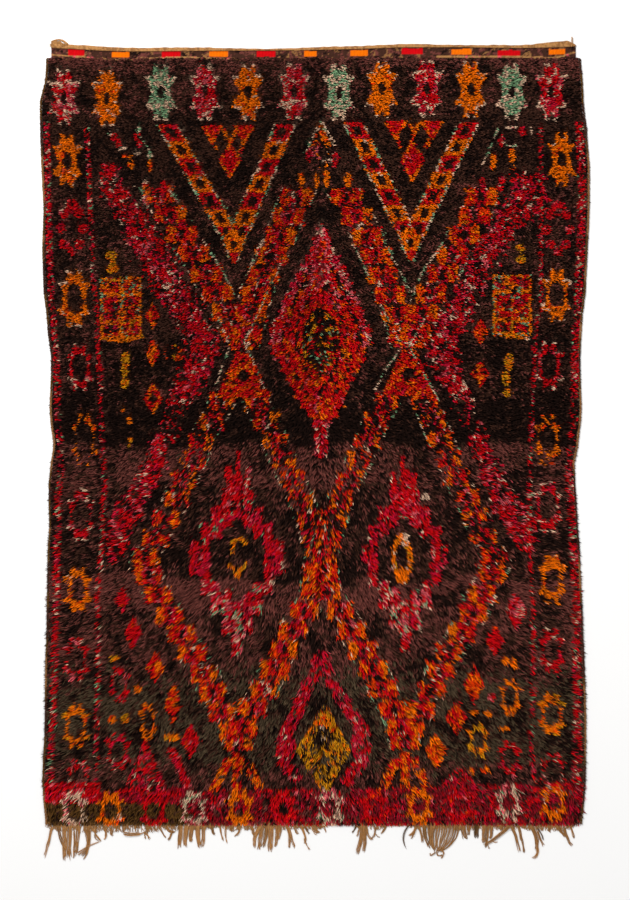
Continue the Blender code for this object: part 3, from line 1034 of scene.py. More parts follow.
# %% Small motifs
Spot = namedtuple("Spot", "brush col row wide tall mix")
SPOTS = (
    Spot("oval", 114, 137, 7, 9, OPEN_RED),
    Spot("oval", 118.5, 144, 6, 9, OPEN_RED),
    Spot("oval", 110, 134, 5, 6, dict(pale=0.6, green=0.2, keep=0.2)),
    Spot("oval", 123, 149, 9, 3, dict(pale=0.7, keep=0.3)),
    Spot("oval", 137, 137, 6, 10, OPEN_RED),
    Spot("oval", 139.5, 145, 6, 7, OPEN_RED),
    Spot("oval", 139, 130, 4, 6, SAGE),
    Spot("oval", 137, 154, 8, 3, dict(pale=0.7, keep=0.3)),
    Spot("oval", 127, 157, 12, 4, OPEN_ORANGE),
    Spot("oval", 131, 164, 6, 12, OPEN_ORANGE),
    Spot("oval", 149.5, 156, 5, 9, dict(green=0.5, pale=0.2, keep=0.3)),
    Spot("oval", 150, 166, 4.5, 13, OPEN_ORANGE),
    Spot("oval", 104, 168, 6, 8, OPEN_RED),
    Spot("oval", 113, 169, 6, 9, OPEN_RED),
    Spot("oval", 108, 175, 9, 7, OPEN_RED),
    Spot("oval", 145, 184, 8, 6, dict(red=0.5, pale=0.3, keep=0.2)),
    Spot("oval", 145, 199, 6, 12, dict(pale=0.4, rose=0.3, keep=0.3)),
    Spot("oval", 163, 190, 7, 18, OPEN_RED),
    Spot("oval", 501.5, 141, 7, 12, OPEN_RED),
    Spot("oval", 511, 128, 14, 3, dict(pale=0.7, rose=0.3)),
    Spot("oval", 523, 132, 9, 10, OPEN_RED),
    Spot("oval", 531, 131, 6, 8, dict(pale=0.7, keep=0.3)),
    Spot("oval", 512, 146, 12, 2.5, SAGE),
    Spot("oval", 493, 162, 6, 20, OPEN_ORANGE),
    Spot("oval", 512, 156, 8, 14, OPEN_ORANGE),
    Spot("oval", 513.5, 167, 6, 7, OPEN_ORANGE),
    Spot("oval", 483, 186, 6, 18, OPEN_RED),
    Spot("oval", 502, 180, 8, 8, OPEN_RED),
    Spot("oval", 500, 188, 7, 9, OPEN_RED),
    Spot("oval", 112, 256, 12, 9, HONEY),
    Spot("oval", 113, 269, 12, 10, HONEY),
    Spot("oval", 113, 263, 5, 12, HONEY),
    Spot("oval", 521, 248, 11, 6, HONEY),
    Spot("oval", 521, 260, 11, 7, HONEY),
    Spot("oval", 521, 254, 5, 12, HONEY),
    Spot("diamond", 152.5, 316, 13, 24, RED_ORANGE),
    Spot("diamond", 152.5, 353, 13, 26, RED_ORANGE),
    Spot("diamond", 480.5, 332, 15, 24, RED_ORANGE),
    Spot("diamond", 480, 374, 17, 25, RED_ORANGE),
    Spot("oval", 125.5, 360, 9, 16, HONEY),
    Spot("oval", 124, 371, 7, 14, HONEY),
    Spot("oval", 125, 384, 9, 10, HONEY),
    Spot("oval", 509, 362, 9, 18, HONEY),
    Spot("oval", 506, 379, 8, 16, HONEY),
    Spot("oval", 508, 393, 10, 9, HONEY),
    Spot("ring", 153, 399, 18, 29, RED_ORANGE),
    Spot("oval", 123.5, 411, 4, 4, OPEN_ORANGE),
    Spot("oval", 129.5, 421, 6, 7, OPEN_ORANGE),
    Spot("oval", 130, 442, 4, 12, HONEY),
    Spot("oval", 175, 353, 22, 16, dict(vermilion=0.16, gold=0.10, keep=0.74)),
    Spot("diamond", 122, 600, 13, 24, SOLID_RED),
    Spot("diamond", 133, 633, 16, 28, SOLID_RED),
    Spot("diamond", 155, 667, 17, 29, RED_ORANGE),
    Spot("oval", 115, 658, 14, 5, HONEY),
    Spot("open", 119, 684, 21, 36, OPEN_RED),
    Spot("oval", 137, 689, 8, 8, OPEN_ORANGE),
    Spot("open", 148, 721, 18, 37, OPEN_ORANGE),
    Spot("diamond", 173, 705, 16, 37, RED_ORANGE),
    Spot("oval", 112, 719, 8, 8, OPEN_ORANGE),
    Spot("oval", 125, 719, 8, 9, HONEY),
    Spot("oval", 172, 737, 16, 7, HONEY),
    Spot("diamond", 190.5, 741, 17, 32, SOLID_RED),
    Spot("open", 118, 751, 23, 36, OPEN_RED),
    Spot("diamond", 516, 611, 19, 36, PINK_RED),
    Spot("diamond", 495, 641, 16, 29, SOLID_RED),
    Spot("oval", 506, 661, 8, 8, OPEN_ORANGE),
    Spot("oval", 514, 664, 6, 12, OPEN_ORANGE),
    Spot("diamond", 474, 684, 18, 36, RED_ORANGE),
    Spot("open", 510, 697, 21, 37, OPEN_ORANGE),
    Spot("oval", 492, 697, 6, 10, OPEN_RED),
    Spot("diamond", 456, 718, 19, 30, RED_ORANGE),
    Spot("oval", 475, 713, 7, 7, OPEN_ORANGE),
    Spot("oval", 488, 713, 7, 8, OPEN_ORANGE),
    Spot("oval", 504, 729, 11, 6, OPEN_ORANGE),
    Spot("open", 478, 740, 20, 34, HONEY),
    Spot("open", 510, 758, 22, 35, OPEN_RED),
    Spot("diamond", 436, 750, 20, 33, dict(orange=0.46, vermilion=0.40, red=0.14)),
    Spot("oval", 471.5, 771, 6, 8, OPEN_ORANGE),
    Spot("oval", 485, 770, 10, 5, OPEN_ORANGE),
)


def spots(chart):
    for spot in SPOTS:
        place = (chart, spot.col, spot.row, spot.wide, spot.tall, spot.mix)
        if spot.brush == "oval":
            oval(*place)
        elif spot.brush == "diamond":
            diamond(*place)
        elif spot.brush == "ring":
            diamond(*place, 0.45)
        else:
            half = spot.wide / 2
            rise = spot.tall / 2
            star(chart, Star(spot.col, spot.row, spot.mix, spot.mix, half, rise, 0.56 * half, 0.56 * rise))


# %% [markdown]
# On each flank two small squares stand side by side, framed in orange, and speckled triangles stand on
# the foot of the rug.

# %% Paired squares and triangles
SQUARE_FILL = dict(red=0.36, orange=0.10, vermilion=0.08, green=0.05, crimson=0.09, brown=0.16, black=0.16)
SQUARE_RIM = dict(orange=0.52, gold=0.12, green=0.08, keep=0.28)
TRIANGLE_FILL = dict(red=0.42, crimson=0.16, rose=0.04, pale=0.02, keep=0.36)


def paired_squares(chart):
    for col, row in ((111, 309), (131, 308), (503, 306), (521, 306)):
        across = np.abs(chart.col - col) / 10.5
        up = np.abs(chart.row - row) / 31
        whole = (across < 1.0) & (up < 1.0)
        chart.paint(whole, SQUARE_FILL)
        bars = (across > 0.72) | (up > 0.88) | (np.abs(up - 0.45) < 0.08)
        chart.paint(whole & bars, SQUARE_RIM)
    line(chart, ((101, 338), (122, 341), (143, 336)), dict(orange=0.85, gold=0.15), 2.2)
    line(chart, ((497, 333), (512, 336), (529, 339)), dict(orange=0.60, pale=0.15, gold=0.25), 2.2)


def foot_triangles(chart):
    for col, apex, foot, spread in ((145, 738, 796, 24), (460, 766, 800, 34)):
        down = (chart.row - apex) / (foot - apex)
        chart.paint((down > 0) & (down < 1) & (np.abs(chart.col - col) < spread * down), TRIANGLE_FILL)
    line(chart, ((171, 748), (190, 792)), dict(red=0.5, crimson=0.2, rose=0.2, keep=0.1), 4.0)


# %% [markdown]
# The foot of the rug is wine-red, brown at the left corner, with a row of open stars. The pile hangs
# straight down there, so the stars look combed.

# %% Foot border
FOOT_STARS = (
    (74, 810, SAGE),
    (111, 811, SOLID_ORANGE),
    (154, 811, SOLID_RED),
    (194, 810, SAGE),
    (239.5, 808, SOLID_ORANGE),
    (283, 808, SOLID_RED),
    (329.5, 808, SAGE),
    (374, 808, SOLID_RED),
    (419, 806, SOLID_ORANGE),
    (460, 806, SOLID_RED),
    (509, 803, SAGE),
    (554, 802, SOLID_ORANGE),
)
WINE_MIX = dict(wine=0.48, red=0.16, crimson=0.08, brown=0.12, mauve=0.08, rose=0.02, black=0.06)
LOW_PALE = dict(pale=0.52, rose=0.18, green=0.06, keep=0.24)


def foot_border(chart):
    edge = 790 - 6 * fade(chart.col, 430, 640, 60) + 2.0 * waves(chart.col, chart.row, 30, 41)
    foot = chart.row > edge
    chart.paint(foot, WINE_MIX)
    left = foot & (chart.col < 185 + 8 * waves(chart.col, chart.row, 20, 42))
    chart.paint(left & (chart.row < 803), dict(red=0.40, wine=0.30, crimson=0.10, keep=0.20))
    chart.paint(left & (chart.row >= 803), dict(bark=0.74, brown=0.18, black=0.08))
    corner = (chart.row > 782) & (chart.row < 803) & (chart.col < 100)
    chart.paint(corner, dict(red=0.62, crimson=0.16, rose=0.06, keep=0.16))
    for col, row, fill in FOOT_STARS:
        mix = LOW_PALE if fill is SAGE else fill
        hole = 4 if col == 283 else 6.5
        star(chart, Star(col, row, mix, mix, 14, 19, hole, hole + 2))


# %% [markdown]
# The order matters: bands first, then the lozenges over them, then borders. The chart can be asked
# about any set of knots, which is useful because the back of the web shows the same pattern.


# %% The whole chart
def yarn_at(col, row):
    """The yarn of each knot at these places on the chart."""
    chart = Chart(col, row)
    for layer in (
        ground,
        crimson_bands,
        lattice,
        centre_lozenge,
        lower_lozenges,
        tall_vs,
        centre_peak,
        paired_squares,
        spots,
        foot_triangles,
        guard_stripes,
        foot_border,
        side_borders,
        top_border,
    ):
        layer(chart)
    return chart.yarn

# %% [markdown]
# Wool comes in two forms here. A lock of the pile is a blade: a strip that narrows to its tip. A wrap of
# the binding or a loose warp is a spindle: a closed tube with pointed ends, made from a ball with few
# sides whose rings are straightened to one width. Each copy of a form gets its own path and
# cross-sections. Stamping the copies into one mesh is far quicker than joining objects.

# %% Forms and stamping
Form = namedtuple("Form", "points rings corners starts")
UP = np.array([0.0, 0.0, 1.0])


def form_of(bm):
    """A small mesh along Z read as arrays: places, rings, and faces with the lowest first."""
    bm.verts.index_update()
    points = np.array([vert.co[:] for vert in bm.verts])
    levels = np.round(points[:, 2], 4)
    ring = np.searchsorted(np.unique(levels), levels)
    points /= np.maximum(np.hypot(points[:, 0], points[:, 1]), 0.01)[:, None]
    faces = sorted(bm.faces, key=lambda face: face.calc_center_median().y)
    corners = np.array([vert.index for face in faces for vert in face.verts])
    sizes = np.array([len(face.verts) for face in faces])
    bm.free()
    return Form(points[:, :2], ring, corners, np.cumsum(sizes) - sizes)


def spindle(sides, rings):
    """A closed tube with pointed ends, one unit to each side."""
    bm = bmesh.new()
    turn = Matrix.Rotation(np.pi / 2, 4, "Z")
    bmesh.ops.create_uvsphere(bm, u_segments=sides, v_segments=rings + 1, radius=1.0, matrix=turn)
    return form_of(bm)


def blade():
    """A strip of one bend that narrows to a point, one unit to each side."""
    bm = bmesh.new()
    upright = Matrix.Rotation(np.pi / 2, 4, "X")
    bmesh.ops.create_grid(bm, x_segments=1, y_segments=2, size=1.0, matrix=upright)
    tip = [vert for vert in bm.verts if vert.co.z > 0.9]
    bmesh.ops.pointmerge(bm, verts=tip, merge_co=(0.0, 0.0, 1.0))
    bmesh.ops.reverse_faces(bm, faces=bm.faces[:])
    return form_of(bm)


def dye(mesh, colours):
    """Stores a colour for each point of a mesh, for the finish to read."""
    layer = mesh.color_attributes.new("yarn", "FLOAT_COLOR", "POINT")
    layer.data.foreach_set("color", np.hstack([colours, np.ones((len(colours), 1))]).ravel())


def added(name, mesh, finish):
    """The object of a finished mesh, which lies with the rug."""
    mesh.materials.append(finish.material)
    piece = bpy.data.objects.new(name, mesh)
    bpy.context.collection.objects.link(piece)
    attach(piece, "root")
    return piece


def stamped(name, form, path, side, rise, colours, finish, slot):
    """Copies of a form in one mesh. Each has its path, cross-sections and colours, ring by ring."""
    count = len(path)
    number = np.arange(count)[:, None]
    at = form.rings
    points = path[:, at] + form.points[:, :1] * side[:, at] + form.points[:, 1:] * rise[:, at]
    corners = (form.corners + points.shape[1] * number).ravel()
    mesh = bpy.data.meshes.new(name)
    mesh.vertices.add(points.shape[0] * points.shape[1])
    mesh.loops.add(len(corners))
    mesh.polygons.add(count * len(form.starts))
    mesh.vertices.foreach_set("co", points.ravel())
    mesh.loops.foreach_set("vertex_index", corners)
    mesh.polygons.foreach_set("loop_start", (form.starts + len(form.corners) * number).ravel())
    mesh.update(calc_edges=True)
    mesh.shade_smooth()
    dye(mesh, colours[:, at].reshape(-1, 3))
    columns = int(np.ceil(np.sqrt(count / 2.6)))
    rows = -(-count // columns)
    cell = np.stack([number % columns, number // columns], axis=2)
    inside = np.stack([at / at.max(), (form.points[:, 0] + 1) / 2], axis=1)
    sheet = (cell + 0.1 + 0.8 * inside) / np.array([columns, rows])
    layer = mesh.uv_layers.new(name="OFBake")
    layer.data.foreach_set("uv", sheet.reshape(-1, 2)[corners].ravel())
    return added(name, mesh, finish)


LOCK = blade()
print("a lock has", len(LOCK.starts), "faces")

# %% [markdown]
# The knots come first, as places on the chart. A weaver ties them in straight rows, and each row is
# shifted by half a knot. The wool leans: down the middle of the rug it parts to the left and right,
# and toward the foot it hangs straighter. A table gives the slope at the centre line and at the sides.

# %% Knots and their lean
KNOT_WIDE = 3.1
KNOT_TALL = 3.3
Lean = namedtuple("Lean", "row middle sides reach")
LEANS = (
    Lean(50, 12, 5, 0.0115),
    Lean(300, 28, 8, 0.0115),
    Lean(430, 45, 8, 0.0130),
    Lean(470, 70, 12, 0.0190),
    Lean(600, 76, 18, 0.0250),
    Lean(780, 82, 30, 0.0250),
    Lean(800, 84, 60, 0.0230),
    Lean(830, 86, 75, 0.0210),
)
LEAN_ROWS = [lean.row for lean in LEANS]


def x_of(col):
    return (col - MIDDLE_COL) * SQUARE


def y_of(row):
    return (MIDDLE_ROW - row) * SQUARE


def row_of(y):
    return MIDDLE_ROW - y / SQUARE


def left_at(y):
    return np.interp(y, edge_ups, left_edge)


def right_at(y):
    return np.interp(y, edge_ups, right_edge)


rows = np.arange(row_of(TOP) + 1.5, row_of(FOOT) - 1.0, KNOT_TALL)
cols = np.arange(30, 600, KNOT_WIDE)
knot_col, knot_row = np.meshgrid(cols, rows)
knot_col = knot_col + (np.arange(len(rows)) % 2)[:, None] * KNOT_WIDE / 2
tied = (x_of(knot_col) > left_at(y_of(knot_row)) + 0.003) & (x_of(knot_col) < right_at(y_of(knot_row)) - 0.003)
knot_col = knot_col[tied] + rng.uniform(-0.3, 0.3, tied.sum())
knot_row = knot_row[tied] + rng.uniform(-0.3, 0.3, tied.sum())

share = np.clip(np.abs(knot_col - 320) / 265, 0, 1) ** 0.8
middle = np.interp(knot_row, LEAN_ROWS, [lean.middle for lean in LEANS])
sides = np.interp(knot_row, LEAN_ROWS, [lean.sides for lean in LEANS])
knot_slope = np.radians(middle + (sides - middle) * share) + 0.22 * waves(knot_col, knot_row, 34, 51)
knot_facing = np.where(knot_col + rng.normal(0, 3, len(knot_col)) < 320, -1, 1)
knot_reach = np.interp(knot_row, LEAN_ROWS, [lean.reach for lean in LEANS])

SEEN = 0.68
seen = SEEN * knot_reach / SQUARE
knot_yarn = yarn_at(
    knot_col + seen * knot_facing * np.cos(knot_slope),
    knot_row + seen * np.sin(knot_slope),
)
print(len(knot_col), "knots")

# %% [markdown]
# Each knot holds a few locks, more where the pile is short and thick. A lock leaves the web, bends over
# and lies on its neighbours almost level, so the wool above hides the knots. Most locks take the yarn
# that the chart has where the lock shows, and the rest take the knot's own, so a motif keeps its shape
# but has a hairy edge. Where a lock would reach far past the edge of the rug it is shorter, so that
# only its tip stands out, as hairs do along a real edge.

# %% Locks of the pile
ROOT_HEIGHT = 0.0028
BEND = 0.45
TIP_SPILL = 0.014

THICK_TO = 440
knot = np.repeat(np.arange(len(knot_col)), np.where(knot_row < THICK_TO, 7, 5))
count = len(knot)
col = knot_col[knot] + rng.uniform(-1.6, 1.6, count)
row = knot_row[knot] + rng.uniform(-1.7, 1.7, count)
slope = knot_slope[knot] + rng.normal(0, 0.22, count)
run = knot_facing[knot] * np.cos(slope)
fall = -np.sin(slope)
root_x = x_of(col)
root_y = y_of(row)
spill = TIP_SPILL + rng.normal(0, 0.003, count)
room_side = np.where(run < 0, root_x - left_at(root_y), right_at(root_y) - root_x) + spill
room_foot = root_y - FOOT + 0.4 * spill
reach = knot_reach[knot] * rng.uniform(0.75, 1.15, count)
reach = np.minimum(reach, room_side / np.maximum(np.abs(run), 0.01))
reach = np.clip(np.minimum(reach, room_foot / np.maximum(-fall, 0.01)), 0.003, None)

along = np.stack([run, fall, np.zeros(count)], axis=1)
root = np.stack([root_x, root_y, np.full(count, ROOT_HEIGHT)], axis=1)
bend = root + along * (BEND * reach)[:, None]
tip = root + along * reach[:, None]
tip[:, 0] += 0.12 * reach * rng.normal(0, 1, count) * np.abs(fall)
bend_depth = height_at(bend[:, 0], bend[:, 1])
tip_depth = height_at(tip[:, 0], tip[:, 1])
bend[:, 2] = np.maximum(bend_depth * rng.uniform(0.55, 0.82, count), 0.0035)
tip[:, 2] = np.maximum(tip_depth * rng.uniform(0.70, 1.0, count), 0.0025)
path = np.stack([root, bend, tip], axis=1)

HALF_WIDTH = 0.0017
roll = rng.normal(0, 0.5, count)[:, None]
across = np.stack([-fall, run, np.zeros(count)], axis=1)
wide = (HALF_WIDTH * rng.uniform(0.75, 1.25, count))[:, None]
side = (np.cos(roll) * across + np.sin(roll) * UP) * wide
side = side[:, None] * np.array([0.8, 1.0, 0.0])[None, :, None]
rise = np.zeros(side.shape)

own_yarn = yarn_at(col + SEEN * reach * run / SQUARE, row - SEEN * reach * fall / SQUARE)
yarn = np.where(rng.random(count) < 0.15, knot_yarn[knot], own_yarn)
knot_tone = rng.uniform(0.84, 1.14, len(knot_col))
tone = knot_tone[knot] * rng.uniform(0.48, 1.22, count)
lock_light = YARN_LIGHT[yarn] * tone[:, None]
# Along each lock the colour runs from dark at the root to bright at the tip: painted shade where the locks
# cover each other, with a little dirt, and painted light on the tips, with some fading of the wool.
shade_and_fade_along_lock = np.array([0.18, 0.68, 1.45])
lock_colours = lock_light[:, None] * shade_and_fade_along_lock[None, :, None]
print(count, "locks")

# %% [markdown]
# Wool is matt with a soft sheen. The yarn's colour comes from the mesh; broad patches where the rug has
# worn and faded, and fine fibres along the locks, only shift its tone. The fibres also carry a bump.

# %% Pile finish
pile_wool = Finish("pile_wool", **WOOL)
# Broad patches where the wool is worn and faded, at random over the pile.
wear_and_fold_shade = pile_wool.noise(0.09, 3.0)
fibres = pile_wool.noise(0.0016, 2.0)
pile_wool.set(
    Base_Color=pile_wool.dyed(0.62 + 0.38 * wear_and_fold_shade + 0.38 * fibres),
    Roughness=0.70 + 0.25 * fibres,
    Normal=pile_wool.relief(fibres, 0.0008),
)

# %% [markdown]
# The pile is divided into strips from side to side, because a mesh of a few hundred thousand faces is
# slow to work on. The strips have no seam: each lock is whole, in the strip where its root is.

# %% Strips of pile
STRIPS = 12
strip_of = np.floor((root_x - root_x.min()) / (np.ptp(root_x) + 0.001) * STRIPS).astype(int)
for number in range(STRIPS):
    own = strip_of == number
    name = f"pile_strip_{number + 1:02d}"
    args = (path[own], side[own], rise[own], lock_colours[own])
    strip = stamped(name, LOCK, *args, pile_wool, "pile_wool")
    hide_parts("pile_body")

# %% [markdown]
# Under the pile is the web: warps and wefts with the knots tied round them. From above it shows only
# between the locks, and its top face is painted dark there, as the shade under the pile. On the back every
# knot is seen, so the chart is read once more for its points. It is a closed thin cloth, fitted between the
# measured edges.

# %% Web
WEB_COLUMNS = 112
WEB_ROWS = 158
WEB_THICK = 0.0024
WEB_FLOOR = 0.0004


def woven(name, columns, rows_up, place, thick):
    """A thin closed cloth: a grid laid out by place(across, up), then given its thickness downward."""
    bm = bmesh.new()
    bmesh.ops.create_grid(bm, x_segments=columns, y_segments=rows_up, size=0.5)
    bm.verts.index_update()
    shares = np.array([vert.co[:2] for vert in bm.verts]) + 0.5
    for vert, point in zip(bm.verts, place(shares[:, 0], shares[:, 1])):
        vert.co = point
    bm.normal_update()
    bmesh.ops.solidify(bm, geom=bm.faces[:], thickness=thick)
    mesh = bpy.data.meshes.new(name)
    bm.to_mesh(mesh)
    bm.free()
    mesh.shade_smooth()
    return mesh


def web_place(across, up):
    y = FOOT + 0.004 + up * (TOP - FOOT - 0.004)
    left = left_at(y) + 0.001
    right = right_at(y) - 0.001
    x = left + across * (right - left)
    return np.stack([x, y, np.full(len(x), WEB_FLOOR + WEB_THICK)], axis=1)


def points_of(mesh):
    places = np.empty(len(mesh.vertices) * 3)
    mesh.vertices.foreach_get("co", places)
    return places.reshape(-1, 3)


web_mesh = woven("web", WEB_COLUMNS, WEB_ROWS, web_place, WEB_THICK)
places = points_of(web_mesh)
print("web from", places.min(axis=0).round(4), "to", places.max(axis=0).round(4))
back_yarn = yarn_at(places[:, 0] / SQUARE + MIDDLE_COL, row_of(places[:, 1]) + 3)
pile_shaded_top = places[:, 2] > WEB_FLOOR + WEB_THICK / 2
# The top face is painted at a fifth of its yarn's colour, as painted shade under the pile; the back keeps
# three quarters of it.
dye(web_mesh, YARN_LIGHT[back_yarn] * np.where(pile_shaded_top, 0.20, 0.75)[:, None])

web_wool = Finish("web_wool", **WOOL)
knots_across = web_wool.ribs(KNOT_WIDE * SQUARE, "X", 0.6)
knots_down = web_wool.ribs(KNOT_TALL * SQUARE, "Y", 0.6)
knot_backs = knots_across * knots_down
lint = web_wool.noise(0.003, 3.0)
web_wool.set(
    # The grooves between the knot backs are painted darker, as shade in the hollows, besides carrying the
    # bump.
    Base_Color=web_wool.dyed(0.55 + 0.35 * knot_backs + 0.3 * lint),
    Roughness=0.80 + 0.18 * lint,
    Normal=web_wool.relief(0.7 * knot_backs + 0.3 * lint, 0.0012),
)
web = added("web", web_mesh, web_wool)
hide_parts("pile_body")
print("web has", len(web_mesh.polygons), "faces")

# %% [markdown]
# Past the last knots the weavers made a flat end: a brown band with small red and orange blocks, a thin
# twined line below it and a tan hem, turned over to the face. It is one strip of cloth, so it is one
# grid that runs flat, turns over at the rug's end and comes back on top.

# %% Flat-woven end
HeadRow = namedtuple("HeadRow", "col hem line")
HEAD_ROWS = (
    HeadRow(50, 48.0, 55.2),
    HeadRow(70, 49.0, 56.2),
    HeadRow(85, 49.8, 57.2),
    HeadRow(100, 50.8, 59.4),
    HeadRow(130, 51.6, 59.2),
    HeadRow(180, 51.2, 57.4),
    HeadRow(226, 50.8, 59.0),
    HeadRow(300, 50.4, 59.0),
    HeadRow(350, 49.4, 58.4),
    HeadRow(400, 47.6, 57.4),
    HeadRow(460, 47.4, 56.6),
    HeadRow(520, 48.2, 57.2),
    HeadRow(556, 47.6, 58.0),
    HeadRow(578, 46.4, 51.6),
)
Block = namedtuple("Block", "left right top yarn")
BLOCKS = (
    Block(68, 85, 49.6, "red"),
    Block(112, 130, 52.0, "orange"),
    Block(161.5, 181, 51.4, "red"),
    Block(209, 228, 51.2, "orange"),
    Block(257, 276, 51.0, "red"),
    Block(304, 317, 51.0, "orange"),
    Block(350, 368, 50.0, "orange"),
    Block(402, 423, 48.2, "red"),
    Block(451, 471, 49.0, "orange"),
    Block(497.5, 520, 50.2, "red"),
    Block(549, 565, 49.2, "orange"),
)
BLOCK_TALL = 5.8
HEAD_COLUMNS = 420
FLAT_ROWS = 15
FOLD_ROWS = 3
HEM_ROWS = 4
HEAD_THICK = 0.0020
HEAD_FACE = 0.0026
HEM_FACE = 0.0034
HEAD_OVERLAP = 0.012

heading_end = tree_of("flatwoven_end")
heading_low, heading_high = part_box("flatwoven_end")
hem_cols = np.arange(heading_low[0] + 0.001, heading_high[0], 0.004)
hem_ends = [heading_end.ray_cast((across, OUTSIDE, EDGE_HEIGHT), (0, -1, 0))[0].y for across in hem_cols]


def head_place(across, up):
    """Flat from under the pile to the end of the rug, round the fold, and back on top as the hem."""
    x = heading_low[0] + 0.001 + across * (heading_high[0] - heading_low[0] - 0.002)
    head_cols = [x_of(point.col) for point in HEAD_ROWS]
    hem_y = y_of(np.interp(x, head_cols, [point.hem for point in HEAD_ROWS]))
    end_y = np.interp(x, hem_cols, hem_ends) - HEAD_THICK + 0.0007 * waves(x * 400, up * 0, 9, 61)
    line_y = y_of(np.interp(x, head_cols, [point.line for point in HEAD_ROWS]))
    step = up * (FLAT_ROWS + FOLD_ROWS + HEM_ROWS)
    flat = np.clip(step / FLAT_ROWS, 0, 1)
    turn = np.clip((step - FLAT_ROWS) / FOLD_ROWS, 0, 1) * np.pi
    back = np.clip((step - FLAT_ROWS - FOLD_ROWS) / HEM_ROWS, 0, 1)
    radius = (HEM_FACE - HEAD_FACE) / 2
    start_y = TOP - HEAD_OVERLAP
    fold_y = end_y - radius
    y = start_y + flat * (fold_y - start_y) + radius * np.sin(turn) - back * (fold_y - hem_y)
    z = HEAD_FACE + radius * (1 - np.cos(turn))
    cord = np.exp(-(((y - line_y) / 0.0022) ** 2)) * (back == 0)
    z = z + 0.0010 * cord - 0.0003 * back + 0.0003 * waves(x * 300, y * 300, 11, 62)
    return np.stack([x, y, z], axis=1)


head_mesh = woven("heading", HEAD_COLUMNS, FLAT_ROWS + FOLD_ROWS + HEM_ROWS, head_place, HEAD_THICK)
places = points_of(head_mesh)
print("heading from", places.min(axis=0).round(4), "to", places.max(axis=0).round(4))

# %% [markdown]
# The flat end is charted with the same brush as the pile. A finish with upright ribs stands for its
# warps, which show as fine ridges because the wefts are packed over them.

# %% Flat-woven end, dyed
head = Chart(places[:, 0] / SQUARE + MIDDLE_COL, row_of(places[:, 1]))
head_cols = [point.col for point in HEAD_ROWS]
hem_row = np.interp(head.col, head_cols, [point.hem for point in HEAD_ROWS])
line_row = np.interp(head.col, head_cols, [point.line for point in HEAD_ROWS])
head.paint(head.row > 0, dict(brown=0.52, mauve=0.22, black=0.14, fawn=0.12))
for block in BLOCKS:
    within = (head.col > block.left) & (head.col < block.right) & (head.row > block.top)
    head.paint(within & (head.row < block.top + BLOCK_TALL), {block.yarn: 1.0})
twined = (np.abs(head.row - line_row) < 0.9) & ((head.col < 232) | (head.col > 436))
head.paint(twined, dict(tan=0.62, fawn=0.30, rose=0.08))
turned = (places[:, 2] > HEM_FACE - 0.0004) & (head.row < hem_row + 0.5) | (head.row < hem_row - 1.2)
head.paint(turned, dict(tan=0.60, fawn=0.40))
edge_shade = np.clip(0.55 + 0.25 * np.abs(head.row - hem_row), 0.6, 1.0)
head_tone = np.where(turned, 0.95, 0.85 * edge_shade) * rng.uniform(0.88, 1.08, len(places))
dye(head_mesh, YARN_LIGHT[head.yarn] * head_tone[:, None])

WARP_PITCH = 0.0052
end_wool = Finish("end_wool", **WOOL)
warps = end_wool.ribs(WARP_PITCH, "X", 1.2)
lint = end_wool.noise(0.0022, 3.0, (1.0, 0.5, 1.0))
end_wool.set(
    # The grooves between the warp ridges are painted darker, as shade in the hollows, besides carrying the
    # bump.
    Base_Color=end_wool.dyed(0.58 + 0.30 * warps + 0.40 * lint),
    Roughness=0.80 + 0.18 * lint,
    Normal=end_wool.relief(0.6 * warps + 0.4 * lint, 0.0010),
)
heading = added("heading", head_mesh, end_wool)
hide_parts("flatwoven_end")
print("heading has", len(head_mesh.polygons), "faces")

# %% [markdown]
# Each long side is bound: the outer warps are wrapped with wool, over and over, into a firm cord. One
# wrap is a short bent tube that climbs over the cord at a slant, and some six hundred of them lie side
# by side along each edge. The wool changes from brown to olive and tan, as the binder picked it up.

# %% Bound edges
WRAP_PITCH = 0.0043
WRAP_HALF = 0.0020
WRAP_SLANT = 0.0030
CORD_HALF = 0.0040
WRAP = spindle(5, 3)
WRAP_ACROSS = np.array([-1.0, -0.82, 0.0, 0.82, 1.0])
WRAP_HEIGHTS = np.array([0.0008, 0.0034, 0.0060, 0.0034, 0.0008])
WRAP_SWELL = np.array([0.1, 0.95, 1.0, 0.95, 0.1])


